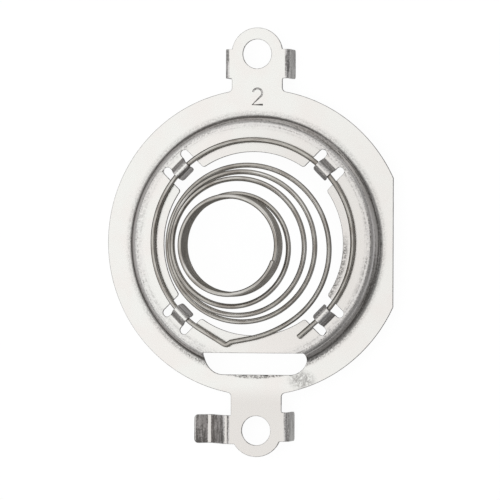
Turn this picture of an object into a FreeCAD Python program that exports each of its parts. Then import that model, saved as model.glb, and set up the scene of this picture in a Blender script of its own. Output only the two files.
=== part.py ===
"""Joystick return spring: a stamped retainer plate with a conical wire spring crimped on it.

Frame: +Z up, millimetres. The origin is the centre of the round flange on its underside, which is the
face that seats on the housing. The two screw tabs lie along Y, and the coil rises towards +Z.
"""

import FreeCAD
import Part
import math
import os

import Sketcher

from FreeCAD import Placement, Rotation, Vector

os.makedirs("parts", exist_ok=True)
doc = FreeCAD.newDocument("joystick_spring")

# Driving dimensions, in millimetres and degrees
SIZES = [
    # Sheet and wire
    ("sheet_thickness", 0.3, "Stamped sheet"),
    ("wire_diameter", 0.53, "Spring wire"),
    ("wire_sides", 8, "Flats that stand for the wire's round section"),
    ("ring_radius", 10.65, "Wire ring on the step, at its centre line"),
    # Raised step that carries the wire ring, and the flange round it
    ("opening_margin", 1.1, "Ring's centre line to the round opening"),
    ("opening_shift", -0.15, "Opening centre along Y"),
    ("step_margin", 1.9, "Ring's centre line to the sharp corner of the step's top edge"),
    ("step_height", 1.6, "Top of the step above top of the flange"),
    ("wall_lean", 28.0, "Wall's angle from upright"),
    ("flange_margin", 3.45, "Sharp corner of the step's top edge to the flange's rim"),
    ("flat_depth", 1.47, "Straight cut on the right, inward from the rim"),
    ("shoulder_trim", 0.3, "Bend on the step's top edge, back from the sharp corner of its outside"),
    ("foot_trim", 0.78, "Bend at the wall's foot, back from the sharp corner of its top side"),
    # Screw tabs
    ("hole_offset", 3.66, "Flange's rim to the screw hole's centre"),
    ("hole_radius", 1.53, "Screw hole"),
    ("tab_margin", 1.22, "Screw hole to the tab's round end"),
    ("neck_half", 2.7, "Half of the tab's width between flange and ears"),
    ("neck_fillet", 0.42, "Neck to flange corner"),
    ("ear_fillet", 0.25, "Neck to ear corner"),
    ("finger_fillet", 0.15, "Neck to finger corner"),
    # Bent-down ears
    ("ear_width", 3.05, "Along Y"),
    ("ear_stand", 0.75, "Outer face from the neck's side"),
    ("ear_depth", 2.85, "Tip below the flange's underside"),
    ("bend_radius", 0.3, "Bends of ears, finger and clips, at mid-sheet"),
    ("ear_tip_radius", 0.3, "Corners of the ear tips"),
    ("top_ear_setback", 1.02, "Ear centre inside the hole centre, far tab"),
    ("low_ear_setback", 0.4, "Ear centre inside the hole centre, near tab"),
    # Contact finger
    ("finger_width", 2.95, "Along Y"),
    ("finger_setback", 0.16, "Finger centre inside the hole centre"),
    ("finger_root", 0.2, "First bend from the neck's side"),
    ("finger_step_angle", 60.0, "Small step down beside the tab"),
    ("finger_step", 0.05, "Straight part of that step"),
    ("finger_ledge", 0.2, "Flat ledge after the step"),
    ("finger_slope", 58.0, "Angle of the long leg"),
    ("finger_sole", 0.4, "Flat contact sole, level with the ear tips"),
    ("finger_rise", 42.0, "Angle of the turned-up tip"),
    ("finger_tip", 1.35, "Length of the turned-up tip"),
    ("finger_tip_radius", 0.42, "Corners of the tip"),
    # Slot below the opening
    ("slot_inset", 1.01, "Straight edge nearer the opening, inside the step's sharp corner"),
    ("slot_depth", 2.29, "Between its straight edges"),
    ("slot_half_width", 5.5, "Half of the slot's length"),
    ("slot_corner", 1.95, "Big corners on the flange side"),
    ("slot_top_corner", 0.25, "Small corners on the opening side"),
    # Wire clips
    ("clip_count", 4, "Clips round the ring"),
    ("clip_angle", 45.0, "First clip from +X"),
    ("clip_width", 1.75, "Bent tongue"),
    ("clip_gap", 0.85, "Slit on each side of the tongue"),
    ("slit_margin", 1.5, "Ring's centre line to the round outer end of the slits"),
    ("clip_rise", 60.0, "Angle of the rising leg"),
    ("clip_wrap", 165.0, "End of the bend round the wire"),
    ("clip_tip", 0.95, "Straight tip inside the wire"),
    ("clip_tip_radius", 0.35, "Corners of the clip tips"),
    ("notch_corner", 0.3, "Corners between notch and opening"),
    # Wire ring and lead
    ("seat_gap", 0.02, "Wire above the step"),
    ("clip_clearance", 0.06, "Wire to the inside of a clip"),
    ("ring_past_clip", 4.0, "Degrees of ring between the last clip's middle and the free end"),
    ("free_end", 2.78, "Straight free end of the ring"),
    ("lead_angle", 239.0, "Where the ring turns into the straight lead"),
    ("kink_radius", 0.5, "Kink between lead and coil"),
    # Coil
    ("coil_x", -0.4, "Coil axis"),
    ("coil_y", -0.33, "Coil axis"),
    ("coil_start", 270.0, "Angle at which the coil begins"),
    ("coil_inset", 0.93, "Ring's centre line to the coil's start"),
    ("entry_turns", 0.086, "Part of a turn in which the wire curls in from its straight lead"),
    ("entry_rate", 11.5, "Loss of radius at the coil's very start, for a whole turn"),
    ("entry_taper", 0.1404, "Share of the way from first to closed radius, after the entry"),
    ("taper_1", 0.2915, "Share of the way from first to closed radius, after 1 eighths of the open turns"),
    ("taper_2", 0.376, "Share of the way from first to closed radius, after 2 eighths of the open turns"),
    ("taper_3", 0.4383, "Share of the way from first to closed radius, after 3 eighths of the open turns"),
    ("taper_4", 0.5157, "Share of the way from first to closed radius, after 4 eighths of the open turns"),
    ("taper_5", 0.5883, "Share of the way from first to closed radius, after 5 eighths of the open turns"),
    ("taper_6", 0.6574, "Share of the way from first to closed radius, after 6 eighths of the open turns"),
    ("taper_7", 0.8645, "Share of the way from first to closed radius, after 7 eighths of the open turns"),
    ("closed_radius", 5.02, "Closed turns at the top"),
    ("open_turns", 3.75, "From the coil's start to its closed turns"),
    ("closed_turns", 4.45, "Closed turns at the top"),
    ("closed_gap", 0.02, "Between closed turns"),
    ("first_pitch", 2.85, "Rise of the first open turn"),
    ("open_pitch", 1.75, "Rise of each later open turn"),
]

# Sizes that lie on a named distance from another
SUMS = {
    "opening_radius": ("ring_radius", "-opening_margin"),
    "slit_end": ("ring_radius", "slit_margin"),
    "step_radius": ("ring_radius", "step_margin"),
    "flange_radius": ("step_radius", "flange_margin"),
    "flat_distance": ("flange_radius", "-flat_depth"),
    "hole_distance": ("flange_radius", "hole_offset"),
    "tab_end_radius": ("hole_radius", "tab_margin"),
    "ear_reach": ("neck_half", "ear_stand"),
    "finger_start": ("neck_half", "finger_root"),
    "slot_top": ("step_radius", "-slot_inset"),
    "coil_radius": ("ring_radius", "-coil_inset"),
}

sheet = doc.addObject("Spreadsheet::Sheet", "sizes")
for row, (alias, number, meaning) in enumerate(SIZES, start=1):
    sheet.set(f"A{row}", alias)
    sheet.set(f"B{row}", str(number))
    sheet.set(f"C{row}", meaning)
    sheet.setAlias(f"B{row}", alias)
doc.recompute()


def size(alias):
    """The value of one dimension."""
    if alias in SUMS:
        return sum(-size(term[1:]) if term.startswith("-") else size(term) for term in SUMS[alias])
    return float(getattr(sheet, alias))


def cell(alias):
    """The expression text that binds a property to one dimension."""
    if alias in SUMS:
        base, offset = SUMS[alias]
        sign = "-" if offset.startswith("-") else "+"
        return f"({cell(base)} {sign} {cell(offset.lstrip('-'))})"
    return f"sizes.{alias}"


# Sketch helpers


def new_sketch(body, name, plane_role, turn_about_y=0.0):
    """A sketch on one of the body's own origin planes, turned about the plane's upright axis."""
    sketch = body.newObject("Sketcher::SketchObject", name)
    plane = next(f for f in body.Origin.OriginFeatures if f.Role == plane_role)
    sketch.AttachmentSupport = [(plane, "")]
    sketch.MapMode = "FlatFace"
    if turn_about_y:
        sketch.AttachmentOffset = Placement(Vector(0, 0, 0), Rotation(Vector(0, 1, 0), turn_about_y))
    return sketch


def on_plane(x, y):
    return Vector(x, y, 0)


def add_outline(sketch, points, closed=True):
    """Straight lines through the points, joined end to end. Returns the index of the first line."""
    first = sketch.GeometryCount
    ends = points[1:] + points[:1] if closed else points[1:]
    for start, end in zip(points, ends):
        sketch.addGeometry(Part.LineSegment(on_plane(*start), on_plane(*end)), False)
    last = sketch.GeometryCount - 1
    for line in range(first, last):
        sketch.addConstraint(Sketcher.Constraint("Coincident", line, 2, line + 1, 1))
    if closed:
        sketch.addConstraint(Sketcher.Constraint("Coincident", last, 2, first, 1))
    return first


def level(sketch, *lines):
    for line in lines:
        sketch.addConstraint(Sketcher.Constraint("Horizontal", line))


def upright(sketch, *lines):
    for line in lines:
        sketch.addConstraint(Sketcher.Constraint("Vertical", line))


def dimension(sketch, name, constraint, expression):
    """Adds a named dimension to a sketch and binds it to an expression."""
    index = sketch.addConstraint(constraint)
    sketch.renameConstraint(index, name)
    sketch.setExpression(f"Constraints.{name}", expression)


def edges_where(feature, test):
    """Names of the edges of a feature's shape that pass the test."""
    return [f"Edge{n}" for n, edge in enumerate(feature.Shape.Edges, start=1) if test(edge)]


def round_edges(body, name, feature, test, alias, expected):
    """A fillet on the edges that pass the test; it says so when their number is not as expected."""
    doc.recompute()
    names = edges_where(feature, test)
    if len(names) != expected:
        raise RuntimeError(f"{name}: {len(names)} edges, not {expected}")
    fillet = body.newObject("PartDesign::Fillet", name)
    fillet.Base = (feature, names)
    fillet.Radius = size(alias)
    fillet.setExpression("Radius", cell(alias))
    body.Tip = fillet
    doc.recompute()
    return fillet


def is_upright_edge(edge, places, reach=0.05):
    """True for an edge parallel to Z that stands at one of the (x, y) places."""
    if len(edge.Vertexes) != 2:
        return False
    low, high = edge.Vertexes[0].Point, edge.Vertexes[1].Point
    if math.hypot(high.x - low.x, high.y - low.y) > 1e-4:
        return False
    return any(math.hypot(low.x - x, low.y - y) < reach for x, y in places)


# Retainer plate

plate = doc.addObject("PartDesign::Body", "retainer_plate")
plate.Label = "retainer_plate"

thickness = size("sheet_thickness")
lean = math.radians(size("wall_lean"))
foot_run = size("step_height") * math.tan(lean)
# The under face of the leaning wall lies this much further in than its outer face, at one height
corner_shift = thickness * math.tan((math.pi / 2 - lean) / 2)

section = new_sketch(plate, "plate_section", "XZ_Plane")
# The disc reaches inside the opening, which is cut from it
stock_radius = size("opening_radius") - size("opening_margin")
STOCK_RADIUS = f"{cell('opening_radius')} - {cell('opening_margin')}"
step_top = thickness + size("step_height")
outer_foot = size("step_radius") + foot_run
profile = [
    (stock_radius, step_top - thickness),
    (size("step_radius") - corner_shift, step_top - thickness),
    (outer_foot - corner_shift, 0.0),
    (size("flange_radius"), 0.0),
    (size("flange_radius"), thickness),
    (outer_foot, thickness),
    (size("step_radius"), step_top),
    (stock_radius, step_top),
]
first = add_outline(section, profile)
level(section, first, first + 2, first + 4, first + 6)
upright(section, first + 3, first + 7)
section.addConstraint(Sketcher.Constraint("Parallel", first + 1, first + 5))
ORIGIN = (-1, 1)
X_AXIS = -1
section.addConstraint(Sketcher.Constraint("PointOnObject", first + 2, 1, X_AXIS))
dimension(section, "flange_radius",
          Sketcher.Constraint("DistanceX", *ORIGIN, first + 2, 2, size("flange_radius")), cell("flange_radius"))
dimension(section, "rim",
          Sketcher.Constraint("DistanceY", first + 3, 1, first + 3, 2, thickness), cell("sheet_thickness"))
dimension(section, "step_rim",
          Sketcher.Constraint("DistanceY", first, 1, first + 6, 2, thickness), cell("sheet_thickness"))
dimension(section, "step_height",
          Sketcher.Constraint("DistanceY", first + 5, 1, first + 5, 2, size("step_height")), cell("step_height"))
dimension(section, "step_radius",
          Sketcher.Constraint("DistanceX", *ORIGIN, first + 5, 2, size("step_radius")), cell("step_radius"))
dimension(section, "foot_run",
          Sketcher.Constraint("DistanceX", first + 5, 2, first + 5, 1, foot_run),
          f"{cell('step_height')} * tan({cell('wall_lean')} * 1deg)")
dimension(section, "wall_shift",
          Sketcher.Constraint("DistanceX", first + 2, 1, first + 5, 1, corner_shift),
          f"{cell('sheet_thickness')} * tan((90 - {cell('wall_lean')}) / 2 * 1deg)")
dimension(section, "stock", Sketcher.Constraint("DistanceX", *ORIGIN, first, 1, stock_radius), STOCK_RADIUS)

drawn = plate.newObject("PartDesign::Revolution", "drawn_disc")
drawn.Profile = section
drawn.ReferenceAxis = (section, ["V_Axis"])
drawn.Angle = 360.0
plate.Tip = drawn
doc.recompute()


def ring_edge(radius, height):
    """A test for a full circle about Z with this radius at this height."""
    def test(edge):
        curve = edge.Curve
        return (isinstance(curve, Part.Circle) and abs(curve.Radius - radius) < 1e-3
                and abs(curve.Center.z - height) < 1e-3)
    return test


def flatten_bend(name, feature, test, trim, expression):
    """Turns one side of a sharp bend into a narrow flat, between two gentler corners."""
    doc.recompute()
    names = edges_where(feature, test)
    if len(names) != 1:
        raise RuntimeError(f"{name}: {len(names)} edges, not 1")
    flat_bend = plate.newObject("PartDesign::Chamfer", name)
    flat_bend.Base = (feature, names)
    flat_bend.Size = trim
    flat_bend.setExpression("Size", expression)
    plate.Tip = flat_bend
    doc.recompute()
    return flat_bend


# The two sides of a bend differ by this much, so that the sheet keeps its thickness across the flat
bend_turn = math.pi / 2 - lean
side_shift = thickness * math.tan(bend_turn / 4) / math.cos(bend_turn / 2)
BEND_TURN = f"(90 - {cell('wall_lean')}) * 1deg"
SIDE_SHIFT = f"{cell('sheet_thickness')} * tan({BEND_TURN} / 4) / cos({BEND_TURN} / 2)"
bent = drawn
bend_sides = [
    ("shoulder_outside", size("step_radius"), step_top, size("shoulder_trim"), cell("shoulder_trim")),
    ("shoulder_inside", size("step_radius") - corner_shift, step_top - thickness,
     size("shoulder_trim") - side_shift, f"{cell('shoulder_trim')} - {SIDE_SHIFT}"),
    ("foot_top", outer_foot, thickness, size("foot_trim"), cell("foot_trim")),
    ("foot_under", outer_foot - corner_shift, 0.0,
     size("foot_trim") + side_shift, f"{cell('foot_trim')} + {SIDE_SHIFT}"),
]
for side_name, radius, height, trim, trim_expression in bend_sides:
    bent = flatten_bend(side_name, bent, ring_edge(radius, height), trim, trim_expression)


def pocket(name, sketch):
    """A cut through the whole plate, both ways from the flange's underside."""
    before = plate.Shape.Volume
    cut = plate.newObject("PartDesign::Pocket", name)
    cut.Profile = sketch
    cut.Type = "ThroughAll"
    cut.SideType = "Symmetric"
    plate.Tip = cut
    doc.recompute()
    if not cut.Shape.Volume < before - 1e-3:
        raise RuntimeError(f"{name} removes nothing")
    return cut


# Round opening in the step

opening_sketch = new_sketch(plate, "opening_outline", "XY_Plane")
opening_sketch.addGeometry(
    Part.Circle(on_plane(0, size("opening_shift")), Vector(0, 0, 1), size("opening_radius")), False)
opening_sketch.addConstraint(Sketcher.Constraint("PointOnObject", 0, 3, -2))
dimension(opening_sketch, "opening_radius",
          Sketcher.Constraint("Radius", 0, size("opening_radius")), cell("opening_radius"))
opening_sketch.addConstraint(Sketcher.Constraint("DistanceY", *ORIGIN, 0, 3, size("opening_shift")))
opening_sketch.setExpression("Constraints[2]", cell("opening_shift"))
opening = pocket("opening", opening_sketch)

# Straight cut on the right of the flange

flat_sketch = new_sketch(plate, "flat_outline", "XY_Plane")
flat_far = size("flange_radius") * 1.2
first = add_outline(flat_sketch, [
    (size("flat_distance"), -flat_far), (flat_far, -flat_far),
    (flat_far, flat_far), (size("flat_distance"), flat_far)])
level(flat_sketch, first, first + 2)
upright(flat_sketch, first + 1)
flat_sketch.addConstraint(Sketcher.Constraint("Symmetric", first, 1, first + 3, 1, X_AXIS))
dimension(flat_sketch, "flat_distance",
          Sketcher.Constraint("DistanceX", *ORIGIN, first, 1, size("flat_distance")), cell("flat_distance"))
dimension(flat_sketch, "flat_far",
          Sketcher.Constraint("DistanceX", *ORIGIN, first, 2, flat_far), f"{cell('flange_radius')} * 1.2")
dimension(flat_sketch, "flat_length",
          Sketcher.Constraint("DistanceY", first + 1, 1, first + 1, 2, 2 * flat_far),
          f"{cell('flange_radius')} * 2.4")
flat = pocket("flat", flat_sketch)


# Screw tabs, each drawn towards +Y and turned into place

neck_foot = math.sqrt(size("flange_radius") ** 2 - size("neck_half") ** 2)
NECK_FOOT = f"sqrt({cell('flange_radius')} ^ 2 - {cell('neck_half')} ^ 2)"


def tab_outline(name, turn, left, right):
    """The flat of one screw tab. left and right say how far each side's wing reaches and where it lies."""
    sketch = new_sketch(plate, name, "XY_Plane")
    sketch.AttachmentOffset = Placement(Vector(0, 0, 0), Rotation(Vector(0, 0, 1), turn))
    half_neck = size("neck_half")
    root = neck_foot - size("neck_fillet")
    hole_y = size("hole_distance")
    end_radius = size("tab_end_radius")

    def wing(side):
        middle = hole_y - size(side["setback"])
        return middle - size(side["width"]) / 2, middle + size(side["width"]) / 2

    (left_low, left_high), (right_low, right_high) = wing(left), wing(right)
    left_x = math.sqrt(end_radius ** 2 - (left_high - hole_y) ** 2)
    right_x = math.sqrt(end_radius ** 2 - (right_high - hole_y) ** 2)
    first = add_outline(sketch, [
        (-left_x, left_high), (-left["reach"], left_high), (-left["reach"], left_low), (-half_neck, left_low),
        (-half_neck, root), (half_neck, root),
        (half_neck, right_low), (right["reach"], right_low), (right["reach"], right_high), (right_x, right_high),
    ], closed=False)
    start = math.atan2(right_high - hole_y, right_x)
    stop = math.atan2(left_high - hole_y, -left_x)
    circle = Part.Circle(on_plane(0, hole_y), Vector(0, 0, 1), end_radius)
    sketch.addGeometry(Part.ArcOfCircle(circle, start, stop), False)
    arc = first + 9
    sketch.addConstraint(Sketcher.Constraint("Coincident", first + 8, 2, arc, 1))
    sketch.addConstraint(Sketcher.Constraint("Coincident", arc, 2, first, 1))
    level(sketch, first, first + 2, first + 6, first + 8)
    upright(sketch, first + 1, first + 3, first + 5, first + 7)
    sketch.addConstraint(Sketcher.Constraint("PointOnObject", arc, 3, -2))
    sketch.addConstraint(Sketcher.Constraint("Symmetric", first + 4, 1, first + 4, 2, -2))
    dimension(sketch, "hole_distance",
              Sketcher.Constraint("DistanceY", *ORIGIN, arc, 3, hole_y), cell("hole_distance"))
    dimension(sketch, "end_radius", Sketcher.Constraint("Radius", arc, end_radius), cell("tab_end_radius"))
    dimension(sketch, "neck", Sketcher.Constraint("DistanceX", first + 4, 1, first + 4, 2, 2 * half_neck),
              f"2 * {cell('neck_half')}")
    dimension(sketch, "root", Sketcher.Constraint("DistanceY", *ORIGIN, first + 4, 1, root),
              f"{NECK_FOOT} - {cell('neck_fillet')}")
    sides = (("left", left, first, left_low, left_high, -1), ("right", right, first + 8, right_low, right_high, 1))
    for side_name, side, top_line, low, high, sign in sides:
        outer_line = first + 1 if sign < 0 else first + 7
        ends = (outer_line, 1, *ORIGIN) if sign < 0 else (*ORIGIN, outer_line, 1)
        dimension(sketch, side_name + "_reach",
                  Sketcher.Constraint("DistanceX", *ends, side["reach"]), side["reach_expression"])
        middle = f"{cell('hole_distance')} - {cell(side['setback'])}"
        low_point = (outer_line, 2) if sign < 0 else (outer_line, 1)
        high_point = (outer_line, 1) if sign < 0 else (outer_line, 2)
        dimension(sketch, side_name + "_low", Sketcher.Constraint("DistanceY", *ORIGIN, *low_point, low),
                  f"{middle} - {cell(side['width'])} / 2")
        dimension(sketch, side_name + "_high", Sketcher.Constraint("DistanceY", *ORIGIN, *high_point, high),
                  f"{middle} + {cell(side['width'])} / 2")
    return sketch


def pad(name, sketch):
    """Adds the sheet's thickness above a flat outline."""
    feature = plate.newObject("PartDesign::Pad", name)
    feature.Profile = sketch
    feature.Length = thickness
    feature.setExpression("Length", cell("sheet_thickness"))
    plate.Tip = feature
    doc.recompute()
    return feature


ear_flat = size("ear_reach") - size("bend_radius") - thickness / 2
EAR_FLAT = f"{cell('ear_reach')} - {cell('bend_radius')} - {cell('sheet_thickness')} / 2"


def ear_side(setback):
    return {"reach": ear_flat, "reach_expression": EAR_FLAT, "width": "ear_width", "setback": setback}


finger_side = {"reach": size("finger_start"), "reach_expression": cell("finger_start"),
               "width": "finger_width", "setback": "finger_setback"}
pad("top_tab", tab_outline("top_tab_outline", 0, ear_side("top_ear_setback"), ear_side("top_ear_setback")))
low_tab = pad("low_tab", tab_outline("low_tab_outline", 180, ear_side("low_ear_setback"), finger_side))


# Bent strips: ears, contact finger and clips are one path along mid-sheet, swept by the strip's section


class StripPath:
    """A chain of straight runs and tangent bends, drawn in a sketch from a start point."""

    def __init__(self, sketch, start, heading):
        self.sketch = sketch
        self.point = start
        self.heading = heading
        self.leave = None

    def join(self, index, entry, leave):
        """Makes one element tangent to the one before it."""
        if self.leave:
            self.sketch.addConstraint(Sketcher.Constraint("Tangent", *self.leave, index, entry))
        self.leave = (index, leave)

    def run(self, length, expression=None, heading_expression=None):
        """A straight run. Without an expression its length follows from other dimensions."""
        turn = math.radians(self.heading)
        end = (self.point[0] + length * math.cos(turn), self.point[1] + length * math.sin(turn))
        index = self.sketch.addGeometry(Part.LineSegment(on_plane(*self.point), on_plane(*end)), False)
        self.join(index, 1, 2)
        if expression:
            dimension(self.sketch, f"length_{index}", Sketcher.Constraint("Distance", index, length), expression)
        if heading_expression:
            dimension(self.sketch, f"heading_{index}",
                      Sketcher.Constraint("Angle", index, turn), heading_expression)
        self.point = end
        return index

    def bend(self, angle, radius, expression):
        """A bend with a mid-sheet radius, to the left where the angle is positive."""
        side = 1 if angle > 0 else -1
        toward = math.radians(self.heading + 90 * side)
        centre = (self.point[0] + radius * math.cos(toward), self.point[1] + radius * math.sin(toward))
        start = toward + math.pi
        stop = start + math.radians(angle)
        circle = Part.Circle(on_plane(*centre), Vector(0, 0, 1), radius)
        low, high = (start, stop) if angle > 0 else (stop, start)
        index = self.sketch.addGeometry(Part.ArcOfCircle(circle, low, high), False)
        self.join(index, *((1, 2) if angle > 0 else (2, 1)))
        dimension(self.sketch, f"radius_{index}", Sketcher.Constraint("Radius", index, radius), expression)
        self.heading += angle
        self.point = (centre[0] + radius * math.cos(stop), centre[1] + radius * math.sin(stop))
        return index


def path_sketch(name, turn, offset_y, offset_expression):
    """A sketch in the upright plane through Z that is turned about Z, moved along Y."""
    sketch = new_sketch(plate, name, "XZ_Plane", turn)
    sketch.AttachmentOffset = Placement(Vector(0, 0, -offset_y), Rotation(Vector(0, 1, 0), turn))
    if offset_expression:
        sketch.setExpression("AttachmentOffset.Base.z", f"-({offset_expression})")
    return sketch


def pin_start(sketch, index, start, expressions):
    """Fixes the start of a path by its distances from the origin."""
    dimension(sketch, "start_reach", Sketcher.Constraint("DistanceX", *ORIGIN, index, 1, start[0]), expressions[0])
    dimension(sketch, "start_level", Sketcher.Constraint("DistanceY", *ORIGIN, index, 1, start[1]), expressions[1])


def sweep_strip(name, path, turn, reach, reach_expression, offset_y, offset_expression, width):
    """Sweeps the strip's section along its path and adds it to the plate."""
    section_sketch = new_sketch(plate, name + "_section", "YZ_Plane")
    angle = math.radians(turn)
    base = Vector(offset_y + reach * math.sin(angle), 0, reach * math.cos(angle))
    section_sketch.AttachmentOffset = Placement(base, Rotation(Vector(0, 1, 0), turn))
    turn_expression = path.get("turn_expression", f"{turn} * 1deg")
    along_y = f"({reach_expression}) * sin({turn_expression})"
    section_sketch.setExpression("AttachmentOffset.Rotation.Angle", turn_expression)
    section_sketch.setExpression("AttachmentOffset.Base.x",
                                 f"({offset_expression}) + {along_y}" if offset_expression else along_y)
    section_sketch.setExpression("AttachmentOffset.Base.z", f"({reach_expression}) * cos({turn_expression})")
    half = size(width) / 2
    level_low = path["level"] - thickness / 2
    first = add_outline(section_sketch, [
        (-half, level_low), (half, level_low), (half, level_low + thickness), (-half, level_low + thickness)])
    upright(section_sketch, first + 1)
    section_sketch.addConstraint(Sketcher.Constraint("Symmetric", first + 3, 1, first + 2, 1, -2))
    section_sketch.addConstraint(Sketcher.Constraint("Symmetric", first, 1, first, 2, -2))
    dimension(section_sketch, "width", Sketcher.Constraint("DistanceX", first, 1, first, 2, 2 * half), cell(width))
    dimension(section_sketch, "thick", Sketcher.Constraint("DistanceY", first + 1, 1, first + 1, 2, thickness),
              cell("sheet_thickness"))
    dimension(section_sketch, "level", Sketcher.Constraint("DistanceY", *ORIGIN, first, 1, level_low),
              f"({path['level_expression']}) - {cell('sheet_thickness')} / 2")
    pipe = plate.newObject("PartDesign::AdditivePipe", name)
    pipe.Profile = section_sketch
    pipe.Spine = path["sketch"]
    pipe.Mode = "Standard"
    plate.Tip = pipe
    doc.recompute()
    return pipe


MID_FLANGE = f"{cell('sheet_thickness')} / 2"
# A strip's root lies one bend radius inside the flat sheet
overlap = size("bend_radius")
OVERLAP = cell("bend_radius")


def tip_corners(turn, reach, height, offset_y, width):
    """The two mid-sheet corners of a strip's tip."""
    angle = math.radians(turn)
    middle = Vector(reach * math.cos(angle), reach * math.sin(angle) + offset_y, height)
    across = Vector(-math.sin(angle), math.cos(angle), 0)
    return [middle + across * (width / 2), middle - across * (width / 2)]


def near_corner(corners):
    """A test for a short edge through the sheet at one of the corners."""
    def test(edge):
        return edge.Length < 1.5 * thickness and any(edge.CenterOfMass.distanceToPoint(c) < 0.05 for c in corners)
    return test


def add_ear(name, turn, side_y, setback):
    """A bent-down ear on one side of a tab. side_y is 1 on the +Y tab and -1 on the -Y tab."""
    ear_y = side_y * (size("hole_distance") - size(setback))
    ear_y_expression = f"{side_y} * ({cell('hole_distance')} - {cell(setback)})"
    sketch = path_sketch(name + "_path", turn, ear_y, ear_y_expression)
    start = (ear_flat - overlap, thickness / 2)
    path = StripPath(sketch, start, 0)
    first = path.run(overlap, OVERLAP)
    level(sketch, first)
    bend_radius = size("bend_radius")
    path.bend(-90, bend_radius, cell("bend_radius"))
    upright(sketch, path.run(
        size("ear_depth") + thickness / 2 - bend_radius,
        f"{cell('ear_depth')} + {cell('sheet_thickness')} / 2 - {cell('bend_radius')}"))
    reach_expression = f"{EAR_FLAT} - {OVERLAP}"
    pin_start(sketch, first, start, (reach_expression, MID_FLANGE))
    sweep_strip(name, {"sketch": sketch, "level": thickness / 2, "level_expression": MID_FLANGE},
                turn, start[0], reach_expression, ear_y, ear_y_expression, "ear_width")
    return tip_corners(turn, path.point[0], path.point[1], ear_y, size("ear_width"))


ear_corners = []
ear_corners += add_ear("top_right_ear", 0, 1, "top_ear_setback")
ear_corners += add_ear("top_left_ear", 180, 1, "top_ear_setback")
ear_corners += add_ear("low_right_ear", 0, -1, "low_ear_setback")


# Contact finger beside the near tab: a small step, a long leg, a flat sole and a turned-up tip


def add_finger():
    turn = 180
    finger_y = -(size("hole_distance") - size("finger_setback"))
    finger_y_expression = f"-({cell('hole_distance')} - {cell('finger_setback')})"
    sketch = path_sketch("finger_path", turn, finger_y, finger_y_expression)
    start = (size("finger_start") - overlap, thickness / 2)
    radius = size("bend_radius")
    step_angle, slope, rise = size("finger_step_angle"), size("finger_slope"), size("finger_rise")

    def bend_drop(angle):
        return 2 * radius * (1 - math.cos(math.radians(angle)))

    def bend_drop_expression(angle_alias):
        return f"2 * {cell('bend_radius')} * (1 - cos({cell(angle_alias)} * 1deg))"

    step_drop = bend_drop(step_angle) + size("finger_step") * math.sin(math.radians(step_angle))
    leg = (size("ear_depth") - step_drop - bend_drop(slope)) / math.sin(math.radians(slope))
    step_drop_expression = (f"{bend_drop_expression('finger_step_angle')}"
                            f" + {cell('finger_step')} * sin({cell('finger_step_angle')} * 1deg)")
    leg_expression = (f"({cell('ear_depth')} - ({step_drop_expression}) - {bend_drop_expression('finger_slope')})"
                      f" / sin({cell('finger_slope')} * 1deg)")

    path = StripPath(sketch, start, 0)
    first = path.run(overlap, OVERLAP)
    level(sketch, first)
    path.bend(-step_angle, radius, cell("bend_radius"))
    path.run(size("finger_step"), cell("finger_step"), f"-{cell('finger_step_angle')} * 1deg")
    path.bend(step_angle, radius, cell("bend_radius"))
    level(sketch, path.run(size("finger_ledge"), cell("finger_ledge")))
    path.bend(-slope, radius, cell("bend_radius"))
    path.run(leg, leg_expression, f"-{cell('finger_slope')} * 1deg")
    path.bend(slope, radius, cell("bend_radius"))
    level(sketch, path.run(size("finger_sole"), cell("finger_sole")))
    path.bend(rise, radius, cell("bend_radius"))
    path.run(size("finger_tip"), cell("finger_tip"), f"{cell('finger_rise')} * 1deg")
    reach_expression = f"{cell('finger_start')} - {OVERLAP}"
    pin_start(sketch, first, start, (reach_expression, MID_FLANGE))
    feature = sweep_strip("finger", {"sketch": sketch, "level": thickness / 2, "level_expression": MID_FLANGE},
                          turn, start[0], reach_expression, finger_y, finger_y_expression, "finger_width")
    return feature, tip_corners(turn, path.point[0], path.point[1], finger_y, size("finger_width"))


finger, finger_corners = add_finger()
ear_tips = round_edges(plate, "ear_tips", finger, near_corner(ear_corners), "ear_tip_radius", 6)
finger_tips = round_edges(plate, "finger_tips", ear_tips, near_corner(finger_corners), "finger_tip_radius", 2)

# Screw holes

hole_sketch = new_sketch(plate, "hole_outline", "XY_Plane")
for sign in (1, -1):
    hole_sketch.addGeometry(
        Part.Circle(on_plane(0, sign * size("hole_distance")), Vector(0, 0, 1), size("hole_radius")), False)
hole_sketch.addConstraint(Sketcher.Constraint("Equal", 0, 1))
hole_sketch.addConstraint(Sketcher.Constraint("Symmetric", 0, 3, 1, 3, X_AXIS))
hole_sketch.addConstraint(Sketcher.Constraint("PointOnObject", 0, 3, -2))
dimension(hole_sketch, "hole_radius", Sketcher.Constraint("Radius", 0, size("hole_radius")), cell("hole_radius"))
dimension(hole_sketch, "hole_distance",
          Sketcher.Constraint("DistanceY", *ORIGIN, 0, 3, size("hole_distance")), cell("hole_distance"))
pocket("screw_holes", hole_sketch)

# Slot between the opening and the near tab

slot_sketch = new_sketch(plate, "slot_outline", "XY_Plane")
slot_top = -size("slot_top")
slot_bottom = slot_top - size("slot_depth")
slot_half = size("slot_half_width")
big = min(size("slot_corner"), 0.85 * size("slot_depth"))
small = min(size("slot_top_corner"), 0.1 * size("slot_depth"))


def corner_arc(x, y, radius, start):
    """A quarter arc that begins at this angle, in degrees, with its centre at (x, y)."""
    circle = Part.Circle(on_plane(x, y), Vector(0, 0, 1), radius)
    slot_sketch.addGeometry(
        Part.ArcOfCircle(circle, math.radians(start), math.radians(start + 90)), False)


def slot_line(start, end):
    slot_sketch.addGeometry(Part.LineSegment(on_plane(*start), on_plane(*end)), False)


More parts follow.
